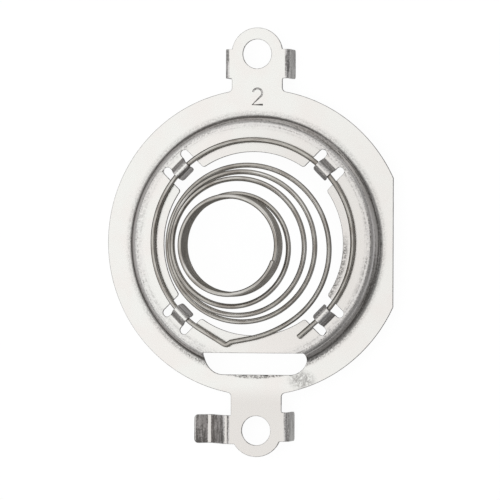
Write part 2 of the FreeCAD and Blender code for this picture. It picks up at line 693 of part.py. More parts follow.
corner_arc(slot_half - small, slot_top - small, small, 0)
slot_line((slot_half - small, slot_top), (-slot_half + small, slot_top))
corner_arc(-slot_half + small, slot_top - small, small, 90)
slot_line((-slot_half, slot_top - small), (-slot_half, slot_bottom + big))
corner_arc(-slot_half + big, slot_bottom + big, big, 180)
slot_line((-slot_half + big, slot_bottom), (slot_half - big, slot_bottom))
corner_arc(slot_half - big, slot_bottom + big, big, 270)
slot_line((slot_half, slot_bottom + big), (slot_half, slot_top - small))
for element in range(8):
    slot_sketch.addConstraint(Sketcher.Constraint("Tangent", element, 2, (element + 1) % 8, 1))
level(slot_sketch, 1, 5)
upright(slot_sketch, 3, 7)
slot_sketch.addConstraint(Sketcher.Constraint("Equal", 0, 2))
slot_sketch.addConstraint(Sketcher.Constraint("Equal", 4, 6))
dimension(slot_sketch, "small_corner", Sketcher.Constraint("Radius", 0, small),
          f"min({cell('slot_top_corner')}; 0.1 * {cell('slot_depth')})")
dimension(slot_sketch, "big_corner", Sketcher.Constraint("Radius", 4, big),
          f"min({cell('slot_corner')}; 0.85 * {cell('slot_depth')})")
dimension(slot_sketch, "slot_top", Sketcher.Constraint("DistanceY", 1, 1, *ORIGIN, -slot_top), cell("slot_top"))
dimension(slot_sketch, "slot_bottom", Sketcher.Constraint("DistanceY", 5, 1, *ORIGIN, -slot_bottom),
          f"{cell('slot_top')} + {cell('slot_depth')}")
dimension(slot_sketch, "slot_right", Sketcher.Constraint("DistanceX", *ORIGIN, 7, 1, slot_half),
          cell("slot_half_width"))
dimension(slot_sketch, "slot_left", Sketcher.Constraint("DistanceX", 3, 1, *ORIGIN, slot_half),
          cell("slot_half_width"))
pocket("slot", slot_sketch)


# Wire clips: each is a tongue of the step between two slits, bent up and over the wire ring

wire_radius = size("wire_diameter") / 2
WIRE_RADIUS = f"{cell('wire_diameter')} / 2"
step_mid = step_top - thickness / 2
STEP_MID = f"{cell('sheet_thickness')} / 2 + {cell('step_height')}"
ring_height = step_top + size("seat_gap") + wire_radius
RING_ABOVE_MID = f"({cell('sheet_thickness')} / 2 + {cell('seat_gap')} + {WIRE_RADIUS})"
wrap_radius = wire_radius + size("clip_clearance") + thickness / 2
WRAP_RADIUS = f"({WIRE_RADIUS} + {cell('clip_clearance')} + {cell('sheet_thickness')} / 2)"

# The tongue is flat from its root out, then rises at the clip's angle, tangent to the bend over the wire
rise = math.radians(size("clip_rise"))
rise_top = (size("ring_radius") + wrap_radius * math.sin(rise), ring_height + wrap_radius * math.cos(rise))
root_corner = rise_top[0] + (rise_top[1] - step_mid) / math.tan(rise)
root_trim = size("bend_radius") * math.tan(rise / 2)
clip_root = root_corner + root_trim
RISE = f"{cell('clip_rise')} * 1deg"
CLIP_ROOT = (f"{cell('ring_radius')} + {WRAP_RADIUS} * sin({RISE})"
             f" + ({RING_ABOVE_MID} + {WRAP_RADIUS} * cos({RISE})) / tan({RISE})"
             f" + {cell('bend_radius')} * tan({RISE} / 2)")

notch_sketch = new_sketch(plate, "notch_outline", "XY_Plane")
notch_sketch.AttachmentOffset = Placement(Vector(0, 0, 0), Rotation(Vector(0, 0, 1), size("clip_angle")))
notch_sketch.setExpression("AttachmentOffset.Rotation.Angle", f"{cell('clip_angle')} * 1deg")
tongue_half = size("clip_width") / 2
slit_radius = size("clip_gap") / 2
notch_half = tongue_half + size("clip_gap")
slit_centre = size("slit_end") - slit_radius
outline = [(slit_centre, -tongue_half), (clip_root, -tongue_half), (clip_root, tongue_half),
           (slit_centre, tongue_half)]
first = add_outline(notch_sketch, outline, closed=False)
inner = add_outline(notch_sketch, [(slit_centre, notch_half), (stock_radius, notch_half),
                                   (stock_radius, -notch_half), (slit_centre, -notch_half)], closed=False)


def slit_arc(middle):
    circle = Part.Circle(on_plane(slit_centre, middle), Vector(0, 0, 1), slit_radius)
    return notch_sketch.addGeometry(Part.ArcOfCircle(circle, -math.pi / 2, math.pi / 2), False)


upper = slit_arc(tongue_half + slit_radius)
lower = slit_arc(-tongue_half - slit_radius)
for line, end, arc, arc_end in ((first + 2, 2, upper, 1), (inner, 1, upper, 2),
                                (inner + 2, 2, lower, 1), (first, 1, lower, 2)):
    notch_sketch.addConstraint(Sketcher.Constraint("Tangent", line, end, arc, arc_end))
level(notch_sketch, first, inner, inner + 2)
upright(notch_sketch, inner + 1)
notch_sketch.addConstraint(Sketcher.Constraint("Symmetric", first + 1, 1, first + 1, 2, X_AXIS))
notch_sketch.addConstraint(Sketcher.Constraint("Symmetric", upper, 3, lower, 3, X_AXIS))
notch_sketch.addConstraint(Sketcher.Constraint("Equal", upper, lower))
dimension(notch_sketch, "slit_radius", Sketcher.Constraint("Radius", upper, slit_radius), f"{cell('clip_gap')} / 2")
dimension(notch_sketch, "slit_centre", Sketcher.Constraint("DistanceX", *ORIGIN, upper, 3, slit_centre),
          f"{cell('slit_end')} - {cell('clip_gap')} / 2")
dimension(notch_sketch, "tongue", Sketcher.Constraint("DistanceY", first + 1, 1, first + 1, 2, 2 * tongue_half),
          cell("clip_width"))
dimension(notch_sketch, "root", Sketcher.Constraint("DistanceX", *ORIGIN, first + 1, 1, clip_root), CLIP_ROOT)
dimension(notch_sketch, "inner_edge", Sketcher.Constraint("DistanceX", *ORIGIN, inner + 1, 1, stock_radius),
          STOCK_RADIUS)
notch = pocket("notch", notch_sketch)


def pattern_round(name, original):
    """Repeats a feature at equal angles about Z, once for each clip."""
    pattern = plate.newObject("PartDesign::PolarPattern", name)
    pattern.Originals = [original]
    axis = next(f for f in plate.Origin.OriginFeatures if f.Role == "Z_Axis")
    pattern.Axis = (axis, [""])
    pattern.Angle = 360.0
    pattern.Occurrences = int(size("clip_count"))
    pattern.setExpression("Occurrences", cell("clip_count"))
    plate.Tip = pattern
    doc.recompute()
    return pattern


notches = pattern_round("notches", notch)


def add_clip():
    """The first clip's tongue, bent over the wire. Returns its feature and its tip's corners."""
    turn = size("clip_angle")
    turn_expression = f"{cell('clip_angle')} * 1deg"
    sketch = path_sketch("clip_path", turn, 0.0, None)
    sketch.setExpression("AttachmentOffset.Rotation.Angle", turn_expression)
    start = (clip_root + overlap, step_mid)
    path = StripPath(sketch, start, 180)
    first = path.run(overlap)
    level(sketch, first)
    rise_angle = size("clip_rise")
    path.bend(-rise_angle, size("bend_radius"), cell("bend_radius"))
    rise_length = math.dist(path.point, rise_top)
    path.run(rise_length, None, f"(180 - {cell('clip_rise')}) * 1deg")
    wrap_angle = rise_angle - 90 + size("clip_wrap")
    over = path.bend(wrap_angle, wrap_radius, WRAP_RADIUS)
    dimension(sketch, "wire_reach", Sketcher.Constraint("DistanceX", *ORIGIN, over, 3, size("ring_radius")),
              cell("ring_radius"))
    dimension(sketch, "wire_level", Sketcher.Constraint("DistanceY", *ORIGIN, over, 3, ring_height),
              f"{cell('sheet_thickness')} + {cell('step_height')} + {cell('seat_gap')} + {WIRE_RADIUS}")
    path.run(size("clip_tip"), cell("clip_tip"), f"({cell('clip_wrap')} - 270) * 1deg")
    reach_expression = f"{CLIP_ROOT} + {OVERLAP}"
    pin_start(sketch, first, start, (reach_expression, STEP_MID))
    feature = sweep_strip(
        "clip", {"sketch": sketch, "level": step_mid, "level_expression": STEP_MID,
                 "turn_expression": turn_expression},
        turn, start[0], reach_expression, 0.0, None, "clip_width")
    corners = []
    for index in range(int(size("clip_count"))):
        angle = turn + 360.0 * index / int(size("clip_count"))
        corners += tip_corners(angle, path.point[0], path.point[1], 0.0, size("clip_width"))
    return feature, corners


clip, clip_corners = add_clip()
clips = pattern_round("clips", clip)
clip_tips = round_edges(plate, "clip_tips", clips, near_corner(clip_corners), "clip_tip_radius", 8)


# Small corners of the stamped outline


def opening_corners():
    """Where the sides of the notches meet the opening, as (x, y) places."""
    places = []
    count = int(size("clip_count"))
    for index in range(count):
        angle = math.radians(size("clip_angle") + 360.0 * index / count)
        along = size("opening_shift") * math.sin(angle)
        aside = size("opening_shift") * math.cos(angle)
        for side in (notch_half, -notch_half):
            reach = along + math.sqrt(size("opening_radius") ** 2 - (side - aside) ** 2)
            places.append((reach * math.cos(angle) - side * math.sin(angle),
                           reach * math.sin(angle) + side * math.cos(angle)))
    return places


neck_half = size("neck_half")
top_ear_low = size("hole_distance") - size("top_ear_setback") - size("ear_width") / 2
low_ear_low = size("hole_distance") - size("low_ear_setback") - size("ear_width") / 2
finger_low = size("hole_distance") - size("finger_setback") - size("finger_width") / 2
corner_sets = [
    ("notch_corners", "notch_corner", opening_corners()),
    ("neck_corners", "neck_fillet", [(x * neck_half, y * neck_foot) for x in (1, -1) for y in (1, -1)]),
    ("ear_corners", "ear_fillet",
     [(neck_half, top_ear_low), (-neck_half, top_ear_low), (neck_half, -low_ear_low)]),
    ("finger_corner", "finger_fillet", [(-neck_half, -finger_low)]),
]
finished = clip_tips
for corner_name, alias, places in corner_sets:
    finished = round_edges(plate, corner_name, finished, lambda edge: is_upright_edge(edge, places),
                           alias, len(places))


# Spring wire: free end, ring, straight lead, kink and coil, as lines and arcs along its centre


def ring_point(angle):
    """A point of the ring's centre line, and the way that the wire runs there."""
    turn = math.radians(angle)
    way = Vector(-math.sin(turn), math.cos(turn), 0)
    return Vector(size("ring_radius") * math.cos(turn), size("ring_radius") * math.sin(turn), ring_height), way


def slopes(table):
    """Slopes for a smooth curve through the table's points: level at both ends unless given."""
    inner = [(table[n + 1][1] - table[n - 1][1]) / (table[n + 1][0] - table[n - 1][0])
             for n in range(1, len(table) - 1)]
    return [0.0] + inner + [0.0]


def along(table, rates, turns):
    """The smooth curve's value, by cubic pieces between the table's points."""
    n = 0
    while n < len(table) - 2 and turns > table[n + 1][0]:
        n += 1
    (start, low), (stop, high) = table[n], table[n + 1]
    span = stop - start
    part = (turns - start) / span
    return (low * (1 + 2 * part) * (1 - part) ** 2 + high * part ** 2 * (3 - 2 * part)
            + span * (rates[n] * part * (1 - part) ** 2 - rates[n + 1] * part ** 2 * (1 - part)))


open_turns = size("open_turns")
all_turns = open_turns + size("closed_turns")
closed_pitch = size("wire_diameter") + size("closed_gap")
TAPER_STEPS = 8
tapers = [(0.0, 0.0), (size("entry_turns"), size("entry_taper"))]
tapers += [(open_turns * n / TAPER_STEPS, size(f"taper_{n}")) for n in range(1, TAPER_STEPS)]
tapers.append((open_turns, 1.0))
narrowing = size("closed_radius") - size("coil_radius")
radius_table = [(turns, size("coil_radius") + narrowing * taper) for turns, taper in tapers]
radius_rates = slopes(radius_table)
radius_rates[0] = -size("entry_rate")
# The first turn rises more in its first half
FIRST_HALF = 0.55
height_table = [(0.0, ring_height), (0.5, ring_height + FIRST_HALF * size("first_pitch"))]
height_table += [(0.5 * n, ring_height + size("first_pitch") + size("open_pitch") * (0.5 * n - 1))
                 for n in range(2, 7)]
# The last part of the open coil eases into the closed turns
ease = (size("open_pitch") + closed_pitch) / 2
height_table.append((open_turns, height_table[-1][1] + ease * (open_turns - height_table[-1][0])))
height_rates = slopes(height_table)
height_rates[-1] = closed_pitch


def coil_point(turns):
    """A point of the coil's centre line, this many turns after its start."""
    angle = math.radians(size("coil_start")) + 2 * math.pi * turns
    if turns < open_turns:
        radius = along(radius_table, radius_rates, turns)
        height = along(height_table, height_rates, turns)
    else:
        radius = size("closed_radius")
        height = height_table[-1][1] + closed_pitch * (turns - open_turns)
    return Vector(size("coil_x") + radius * math.cos(angle), size("coil_y") + radius * math.sin(angle), height)


def coil_way(turns):
    """The way that the wire runs at a point of the coil."""
    nudge = 1e-5
    return (coil_point(turns + nudge) - coil_point(max(turns - nudge, 0.0))).normalize()


def arc_pair(start, start_way, end, end_way):
    """Two arcs that meet without a corner, from one point and direction to another."""
    chord = end - start
    ways = start_way + end_way
    spread = 2 * (1 - start_way.dot(end_way))
    across = chord.dot(ways)
    reach = (-across + math.sqrt(across ** 2 + spread * chord.dot(chord))) / spread
    first_corner = start + start_way * reach
    second_corner = end - end_way * reach
    meet = (first_corner + second_corner) * 0.5
    edges = []
    for begin, corner, finish in ((start, first_corner, meet), (meet, second_corner, end)):
        middle = (begin + finish) * 0.5
        half_chord = begin.distanceToPoint(finish) / 2
        turn = 2 * math.atan2(corner.distanceToPoint(middle), half_chord)
        over = middle + (corner - middle).normalize() * (half_chord * math.tan(turn / 4))
        edges.append(Part.Arc(begin, over, finish).toShape())
    return edges


def line(start, end):
    return Part.LineSegment(start, end).toShape()


FREE_END_ANGLE = size("clip_angle") - 90.0 - size("ring_past_clip")
ring_start, ring_start_way = ring_point(FREE_END_ANGLE)
ring_end, ring_end_way = ring_point(size("lead_angle"))
ring_over, _ = ring_point((FREE_END_ANGLE + size("lead_angle")) / 2)
wire_tip = ring_start - ring_start_way * size("free_end")
coil_begin, coil_begin_way = coil_point(0.0), coil_way(0.0)
coil_begin_way.z = 0.0
coil_begin_way.normalize()

# The lead and the coil's straight start meet at the kink
gap = coil_begin - ring_end
across = ring_end_way.cross(coil_begin_way).z
lead_length = gap.cross(coil_begin_way).z / across
kink = ring_end + ring_end_way * lead_length
kink_turn = ring_end_way.getAngle(coil_begin_way)
kink_trim = size("kink_radius") * math.tan(kink_turn / 2)
kink_in = kink - ring_end_way * kink_trim
kink_out = kink + coil_begin_way * kink_trim
kink_over_way = (coil_begin_way - ring_end_way).normalize()
kink_over = kink + kink_over_way * (size("kink_radius") * (1 / math.cos(kink_turn / 2) - 1))

wire_edges = [line(wire_tip, ring_start), Part.Arc(ring_start, ring_over, ring_end).toShape(),
              line(ring_end, kink_in), Part.Arc(kink_in, kink_over, kink_out).toShape(),
              line(kink_out, coil_begin)]
OPEN_SPANS, CLOSED_SPANS = 30, 18
stations = [open_turns * n / OPEN_SPANS for n in range(OPEN_SPANS)]
stations += [open_turns + size("closed_turns") * n / CLOSED_SPANS for n in range(CLOSED_SPANS + 1)]
for turns_from, turns_to in zip(stations, stations[1:]):
    way_from = coil_begin_way if turns_from == 0 else coil_way(turns_from)
    wire_edges += arc_pair(coil_point(turns_from), way_from, coil_point(turns_to), coil_way(turns_to))

wire_path = doc.addObject("Part::Feature", "wire_path")
wire_path.Shape = Part.Wire(wire_edges)
# The many-sided section has the round wire's area
wire_section = doc.addObject("Part::RegularPolygon", "wire_section")
wire_sides = int(size("wire_sides"))
wire_section.Polygon = wire_sides
wire_section.setExpression("Polygon", cell("wire_sides"))
wire_section.Circumradius = wire_radius * math.sqrt(2 * math.pi / (wire_sides * math.sin(2 * math.pi / wire_sides)))
wire_section.setExpression(
    "Circumradius",
    f"{WIRE_RADIUS} * sqrt(2 * pi / ({cell('wire_sides')} * sin(360deg / {cell('wire_sides')})))")
wire_section.Placement = Placement(wire_tip, Rotation(Vector(0, 0, 1), ring_start_way))
spring = doc.addObject("Part::Sweep", "coil_spring")
spring.Label = "coil_spring"
spring.Sections = [wire_section]
spring.Spine = (wire_path, [f"Edge{n}" for n in range(1, len(wire_edges) + 1)])
spring.Solid = True
spring.Frenet = False
doc.recompute()

# Checks, then one file for each piece

swept = wire_path.Shape.Length * math.pi * wire_radius ** 2
if abs(spring.Shape.Volume - swept) > 0.01 * swept:
    raise RuntimeError(f"coil_spring: volume {spring.Shape.Volume:.3f}, not {swept:.3f}")
for item in doc.Objects:
    if "Invalid" in item.State or "Error" in item.State:
        raise RuntimeError(f"{item.Name}: {item.State}")
for piece in (plate, spring):
    if not piece.Shape.isValid() or len(piece.Shape.Solids) != 1:
        raise RuntimeError(f"{piece.Label}: not one valid solid")
for piece in (plate, spring):
    piece.Shape.exportStep(f"parts/{piece.Label}.step")
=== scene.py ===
"""Looks of a joystick spring: a stamped retainer plate and the conical wire spring that its clips hold.

Pieces are shaped in millimetres, as their drawing gives them, and shrunk to metres when they are finished.
"""

import logging
import math
from collections.abc import Callable, Iterable, Sequence
from dataclasses import dataclass, field
from enum import Enum

import bmesh
import bpy
from mathutils import Matrix, Vector


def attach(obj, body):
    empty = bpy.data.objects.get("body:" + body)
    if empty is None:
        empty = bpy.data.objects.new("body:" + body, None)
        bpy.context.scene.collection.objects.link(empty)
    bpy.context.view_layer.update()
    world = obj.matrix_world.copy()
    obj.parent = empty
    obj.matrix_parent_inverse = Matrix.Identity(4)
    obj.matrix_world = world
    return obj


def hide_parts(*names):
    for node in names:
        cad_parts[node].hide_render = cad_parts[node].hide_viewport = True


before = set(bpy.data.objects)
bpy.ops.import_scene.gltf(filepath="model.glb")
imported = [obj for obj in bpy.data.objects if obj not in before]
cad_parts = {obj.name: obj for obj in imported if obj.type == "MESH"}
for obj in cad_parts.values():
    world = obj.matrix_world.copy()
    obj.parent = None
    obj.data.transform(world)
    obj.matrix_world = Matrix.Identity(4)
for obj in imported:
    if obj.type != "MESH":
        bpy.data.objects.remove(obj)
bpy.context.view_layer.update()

Thing = bpy.types.Object
Pair = Sequence[float]
Table = list[tuple[float, float]]
Colour = tuple[float, float, float, float]
Span = tuple[float, ...]

LOG = logging.getLogger("joystick_spring")
WHITE: Colour = (1.0, 1.0, 1.0, 1.0)
MM = 0.001
CUT_LEVEL, CUT_HEIGHT = -1.0, 4.0
SAME_PLACE, ONE_POINT = 0.0001, 0.0005
SLIVER = 0.004


class Axis(Enum):
    """The axes that things turn about."""

    Y = (0.0, 1.0, 0.0)
    Z = (0.0, 0.0, 1.0)


class Cut(Enum):
    """How one solid works on another."""

    KEEP = "INTERSECT"
    REMOVE = "DIFFERENCE"


class Part(Enum):
    """What is picked in edit mode."""

    POINT = "VERT"
    EDGE = "EDGE"
    FACE = "FACE"


# Hand work on meshes


def only(thing: Thing) -> None:
    """Selects one object and makes it active.

    Args:
        thing: The object to work on.
    """
    bpy.ops.object.select_all(action="DESELECT")
    thing.select_set(True)
    bpy.context.view_layer.objects.active = thing


def added(name: str) -> Thing:
    """Names the object that was just added.

    Args:
        name: Its name.

    Returns:
        The object.
    """
    thing = bpy.context.view_layer.objects.active
    thing.name = name
    return thing


def use_up(thing: Thing) -> None:
    """Deletes a helper object."""
    only(thing)
    bpy.ops.object.delete()


def enter(thing: Thing, part: Part = Part.FACE) -> None:
    """Opens one object in edit mode with nothing picked.

    Args:
        thing: The object to work on.
        part: What is picked next.
    """
    only(thing)
    bpy.ops.object.mode_set(mode="EDIT")
    bpy.ops.mesh.select_mode(type=part.value)
    bpy.ops.mesh.select_all(action="DESELECT")


def leave() -> None:
    """Goes back to object mode."""
    bpy.ops.object.mode_set(mode="OBJECT")


def pick(thing: Thing, part: Part, test: Callable[[bmesh.types.BMEdge | bmesh.types.BMFace], bool]) -> int:
    """Picks edges or faces in edit mode.

    Args:
        thing: The object in edit mode.
        part: Which of the two are picked.
        test: Says which ones.

    Returns:
        How many are picked.
    """
    mesh = bmesh.from_edit_mesh(thing.data)
    rows = mesh.faces if part is Part.FACE else mesh.edges
    chosen = [row for row in rows if test(row)]
    for row in rows:
        row.select_set(False)
    for row in chosen:
        row.select_set(True)
    bmesh.update_edit_mesh(thing.data)
    return len(chosen)


def ends(edge: bmesh.types.BMEdge) -> tuple[Vector, Vector]:
    """The places of an edge's two ends."""
    return edge.verts[0].co, edge.verts[1].co


def apply_place(thing: Thing) -> None:
    """Puts an object's place, turn and scale into its mesh."""
    only(thing)
    bpy.ops.object.transform_apply(location=True, rotation=True, scale=True)


def modify(thing: Thing, kind: str, **settings: object) -> None:
    """Adds one modifier and applies it.

    Args:
        thing: The object that changes.
        kind: The modifier's type.
        settings: Its settings.
    """
    only(thing)
    change = thing.modifiers.new("change", kind)
    for name, value in settings.items():
        setattr(change, name, value)
    bpy.ops.object.modifier_apply(modifier=change.name)


def work_in(base: Thing, tool: Thing, cut: Cut) -> None:
    """Cuts a solid with another, and uses up the second solid.

    Args:
        base: The solid that changes.
        tool: The cutter.
        cut: Whether the cutter's inside is kept or removed.
    """
    modify(base, "BOOLEAN", operation=cut.value, object=tool, solver="EXACT")
    use_up(tool)


def face_outward(thing: Thing, merge: float = ONE_POINT) -> None:
    """Merges doubles and turns every face outward.

    Args:
        thing: The closed mesh.
        merge: Points nearer than this are one.
    """
    enter(thing, Part.POINT)
    bpy.ops.mesh.select_all(action="SELECT")
    bpy.ops.mesh.remove_doubles(threshold=merge)
    bpy.ops.mesh.normals_make_consistent(inside=False)
    leave()


def add_rail(name: str, points: list[Vector]) -> Thing:
    """Adds a curve of straight edges.

    Args:
        name: Its name.
        points: Its points.

    Returns:
        The curve.
    """
    data = bpy.data.curves.new(name, "CURVE")
    data.dimensions = "3D"
    data.twist_mode = "MINIMUM"
    line = data.splines.new("POLY")
    line.points.add(len(points) - 1)
    for knot, point in zip(line.points, points):
        knot.co = (*point, 1.0)
    rail = bpy.data.objects.new(name, data)
    bpy.context.scene.collection.objects.link(rail)
    return rail


def turn_between(centre: Vector, begin: Vector, end: Vector) -> float:
    """The degrees, seen from a centre and counter-clockwise, from one flat point to another."""
    return -math.degrees((begin - centre).angle_signed(end - centre))


class Pen:
    """Draws an outline as edges, by extruding and spinning its last point.

    A point is X and Y where arcs turn about Z, and X and Z where they turn about Y.
    """

    def __init__(self, name: str, start: Pair, axis: Axis = Axis.Z, arc_step: float = 7.5,
                 turn: float = 0.0) -> None:
        """Starts an outline.

        Args:
            name: The object's name.
            start: The first point.
            axis: The axis that arcs turn about.
            arc_step: Degrees between the points of an arc.
            turn: Degrees that the points are turned about Z.
        """
        self.axis, self.arc_step = axis, arc_step
        self.turn_to(turn)
        self.point = self.place(start)
        bpy.ops.mesh.primitive_plane_add(size=1.0, location=(0.0, 0.0, 0.0))
        self.thing = added(name)
        bpy.ops.object.mode_set(mode="EDIT")
        bpy.ops.mesh.select_mode(type="VERT")
        bpy.ops.mesh.merge(type="CENTER")
        bpy.ops.transform.translate(value=self.point)

    def turn_to(self, degrees: float) -> None:
        """Turns the points that follow about Z."""
        self.turn = Matrix.Rotation(math.radians(degrees), 3, "Z")

    def place(self, point: Pair) -> Vector:
        """Finds where a point of the outline lies.

        Args:
            point: The point's two numbers.

        Returns:
            Its place.
        """
        if self.axis is Axis.Y:
            return Vector((point[0], 0.0, point[1]))
        return self.turn @ Vector((point[0], point[1], CUT_LEVEL))

    def line(self, *points: Pair) -> None:
        """Draws straight edges.

        Args:
            points: Where each one ends.
        """
        for point in points:
            step = self.place(point) - self.point
            bpy.ops.mesh.extrude_region_move(TRANSFORM_OT_translate={"value": step})
            self.point = self.place(point)

    def arc(self, centre: Pair, degrees: float, step: float = 0.0) -> None:
        """Draws an arc.

        Args:
            centre: The arc's centre.
            degrees: How far it turns about the axis, counter-clockwise where positive.
            step: Degrees between its points, where they aren't the pen's own.
        """
        middle, angle = self.place(centre), math.radians(degrees)
        steps = max(2, round(abs(degrees) / (step or self.arc_step)))
        bpy.ops.mesh.spin(steps=steps, angle=-angle, center=middle, axis=self.axis.value)
        turn = Matrix.Rotation(angle, 3, Vector(self.axis.value))
        self.point = middle + turn @ (self.point - middle)

    def close(self) -> Thing:
        """Joins the end to the start and fills the outline with one face.

        Returns:
            The flat shape, in object mode.
        """
        bpy.ops.mesh.select_all(action="SELECT")
        bpy.ops.mesh.remove_doubles(threshold=ONE_POINT)
        bpy.ops.mesh.edge_face_add()
        leave()
        return self.thing

    def solid(self) -> Thing:
        """Fills the outline and raises it into a closed cutter.

        Returns:
            The cutter.
        """
        cutter = self.close()
        enter(cutter)
        bpy.ops.mesh.select_all(action="SELECT")
        bpy.ops.mesh.extrude_region_move(TRANSFORM_OT_translate={"value": (0.0, 0.0, CUT_HEIGHT)})
        bpy.ops.mesh.select_all(action="SELECT")
        bpy.ops.mesh.normals_make_consistent(inside=False)
        leave()
        return cutter


@dataclass
class FoldedStrip:
    """A strip of the sheet, folded on from an end face of the plate, in an upright plane.

    Its end's reach, level and heading count before it is turned about Z and put aside along Y. The sizes
    from near to off_corner say how well a face or an edge has to fit the strip's end or corner.
    """

    thing: Thing
    width: float
    thickness: float
    reach: float
    level: float
    heading: float
    turn: float
    aside: float = 0.0
    bend_step: float = 7.5
    near: float = 0.08
    margin: float = 0.05
    same_way: float = 0.99
    off_corner: float = 0.02
    tip_segments: int = 6

    def __post_init__(self) -> None:
        """Opens the plate and picks the strip's end face.

        Raises:
            RuntimeError: Where the plate has no such face.
        """
        self.frame = Matrix.Translation((0.0, self.aside, 0.0)) @ Matrix.Rotation(math.radians(self.turn), 4, "Z")
        self.across = self.frame.to_3x3() @ Vector(Axis.Y.value)
        end, way = self.frame @ self.end(), self.frame.to_3x3() @ self.way()
        furthest = math.hypot(self.width / 2 + self.margin, self.thickness)

        def is_end(face: bmesh.types.BMFace) -> bool:
            """Whether a face is the strip's end."""
            return (face.normal.dot(way) > self.same_way and (face.calc_center_bounds() - end).length < self.near
                    and all((vert.co - end).length < furthest for vert in face.verts))

        enter(self.thing)
        found = pick(self.thing, Part.FACE, is_end)
        if found != 1:
            raise RuntimeError(f"strip at {end}: {found} end faces, not 1")

    def end(self) -> Vector:
        """The middle of the strip's end, before its turn."""
        return Vector((self.reach, 0.0, self.level))

    def way(self) -> Vector:
        """The way that the strip runs at its end, before its turn."""
        angle = math.radians(self.heading)
        return Vector((math.cos(angle), 0.0, math.sin(angle)))

    def run(self, length: float) -> None:
        """Extrudes the end straight on.

        Args:
            length: How far.
        """
        step = self.way() * length
        bpy.ops.mesh.extrude_region_move(TRANSFORM_OT_translate={"value": self.frame.to_3x3() @ step})
        self.reach += step.x
        self.level += step.z

    def bend(self, degrees: float, radius: float) -> None:
        """Spins the end round a bend.

        Args:
            degrees: How far the heading turns, counter-clockwise where positive.
            radius: The bend's radius at mid-sheet.
        """
        side = math.copysign(90.0, degrees)
        angle = math.radians(self.heading + side)
        centre = Vector((self.reach + radius * math.cos(angle), 0.0, self.level + radius * math.sin(angle)))
        steps = max(3, round(abs(degrees) / self.bend_step))
        bpy.ops.mesh.spin(steps=steps, angle=math.radians(degrees), center=self.frame @ centre, axis=self.across)
        self.heading += degrees
        back = math.radians(self.heading - side)
        self.reach = centre.x + radius * math.cos(back)
        self.level = centre.z + radius * math.sin(back)

    def fold(self, folds: Iterable[tuple[float, float, float]], tip_radius: float) -> None:
        """Folds the strip on to its tip, rounds the tip's two corners and leaves edit mode.

        Args:
            folds: Each bend's degrees, its radius at mid-sheet and the straight run after it.
            tip_radius: The corners' radius.

        Raises:
            RuntimeError: Where the tip has no two corners.
        """
        for degrees, radius, length in folds:
            self.bend(degrees, radius)
            self.run(length)
        tip = self.frame @ self.end()

        def at_corner(edge: bmesh.types.BMEdge) -> bool:
            """Whether an edge is one of the tip's two corners."""
            middle = sum(ends(edge), Vector()) / 2 - tip
            aside = middle.dot(self.across)
            return (abs(abs(aside) - self.width / 2) < self.off_corner
                    and (middle - self.across * aside).length < self.off_corner)

        bpy.ops.mesh.select_mode(type="EDGE")
        found = pick(self.thing, Part.EDGE, at_corner)
        if found != 2:
            raise RuntimeError(f"strip at {tip}: {found} tip corners, not 2")
        bpy.ops.mesh.bevel(offset=tip_radius, segments=self.tip_segments, affect="EDGES")
        leave()


@dataclass(frozen=True)
class Smoothing:
    """How stamped edges sharper than one angle are rounded, and bends of less than another smoothed."""

    width: float = 0.06
    segments: int = 2
    edge_angle: float = 40.0
    number_size: float = 1.3
    bend_angle: float = 60.0
    flat: float = 0.99999

    def round_edges(self, thing: Thing, number: Vector) -> None:
        """Rounds the stamped edges a little, but not those of the number.

        Args:
            thing: The solid.
            number: The middle of the number.
        """
        def is_sharp(edge: bmesh.types.BMEdge) -> bool:
            """Whether an edge is stamped and not the number's."""
            off = (sum(ends(edge), Vector()) / 2 - number).length
            return edge.calc_face_angle(0.0) > math.radians(self.edge_angle) and off > self.number_size

        enter(thing, Part.EDGE)
        pick(thing, Part.EDGE, is_sharp)
        bpy.ops.transform.edge_bevelweight(value=1.0)
        leave()
        modify(thing, "BEVEL", width=self.width, segments=self.segments, limit_method="WEIGHT",
               use_clamp_overlap=False, face_strength_mode="FSTR_ALL")

    def smooth_bends(self, thing: Thing) -> None:
        """Smooths the bends and keeps flat faces flat in their shading.

        Args:
            thing: The solid.
        """
        only(thing)
        bpy.ops.object.shade_smooth_by_angle(angle=math.radians(self.bend_angle))
        modify(thing, "WEIGHTED_NORMAL", mode="FACE_AREA", use_face_influence=True, keep_sharp=True)
        enter(thing)
        pick(thing, Part.FACE, lambda face: abs(face.normal.z) > self.flat)
        bpy.ops.mesh.quads_convert_to_tris(quad_method="BEAUTY", ngon_method="BEAUTY")
        bpy.ops.mesh.set_normals_from_faces(keep_sharp=True)
        leave()


def shrink_to_metres(thing: Thing) -> None:
    """Turns a piece drawn in millimetres into one in metres."""
    thing.scale = (MM, MM, MM)
    apply_place(thing)


# Finishes


class Mix(Enum):
    """What a Mix node mixes: its data type, its first input and its output."""

    NUMBER = ("FLOAT", 2, 0)
    VECTOR = ("VECTOR", 4, 1)
    COLOUR = ("RGBA", 6, 2)


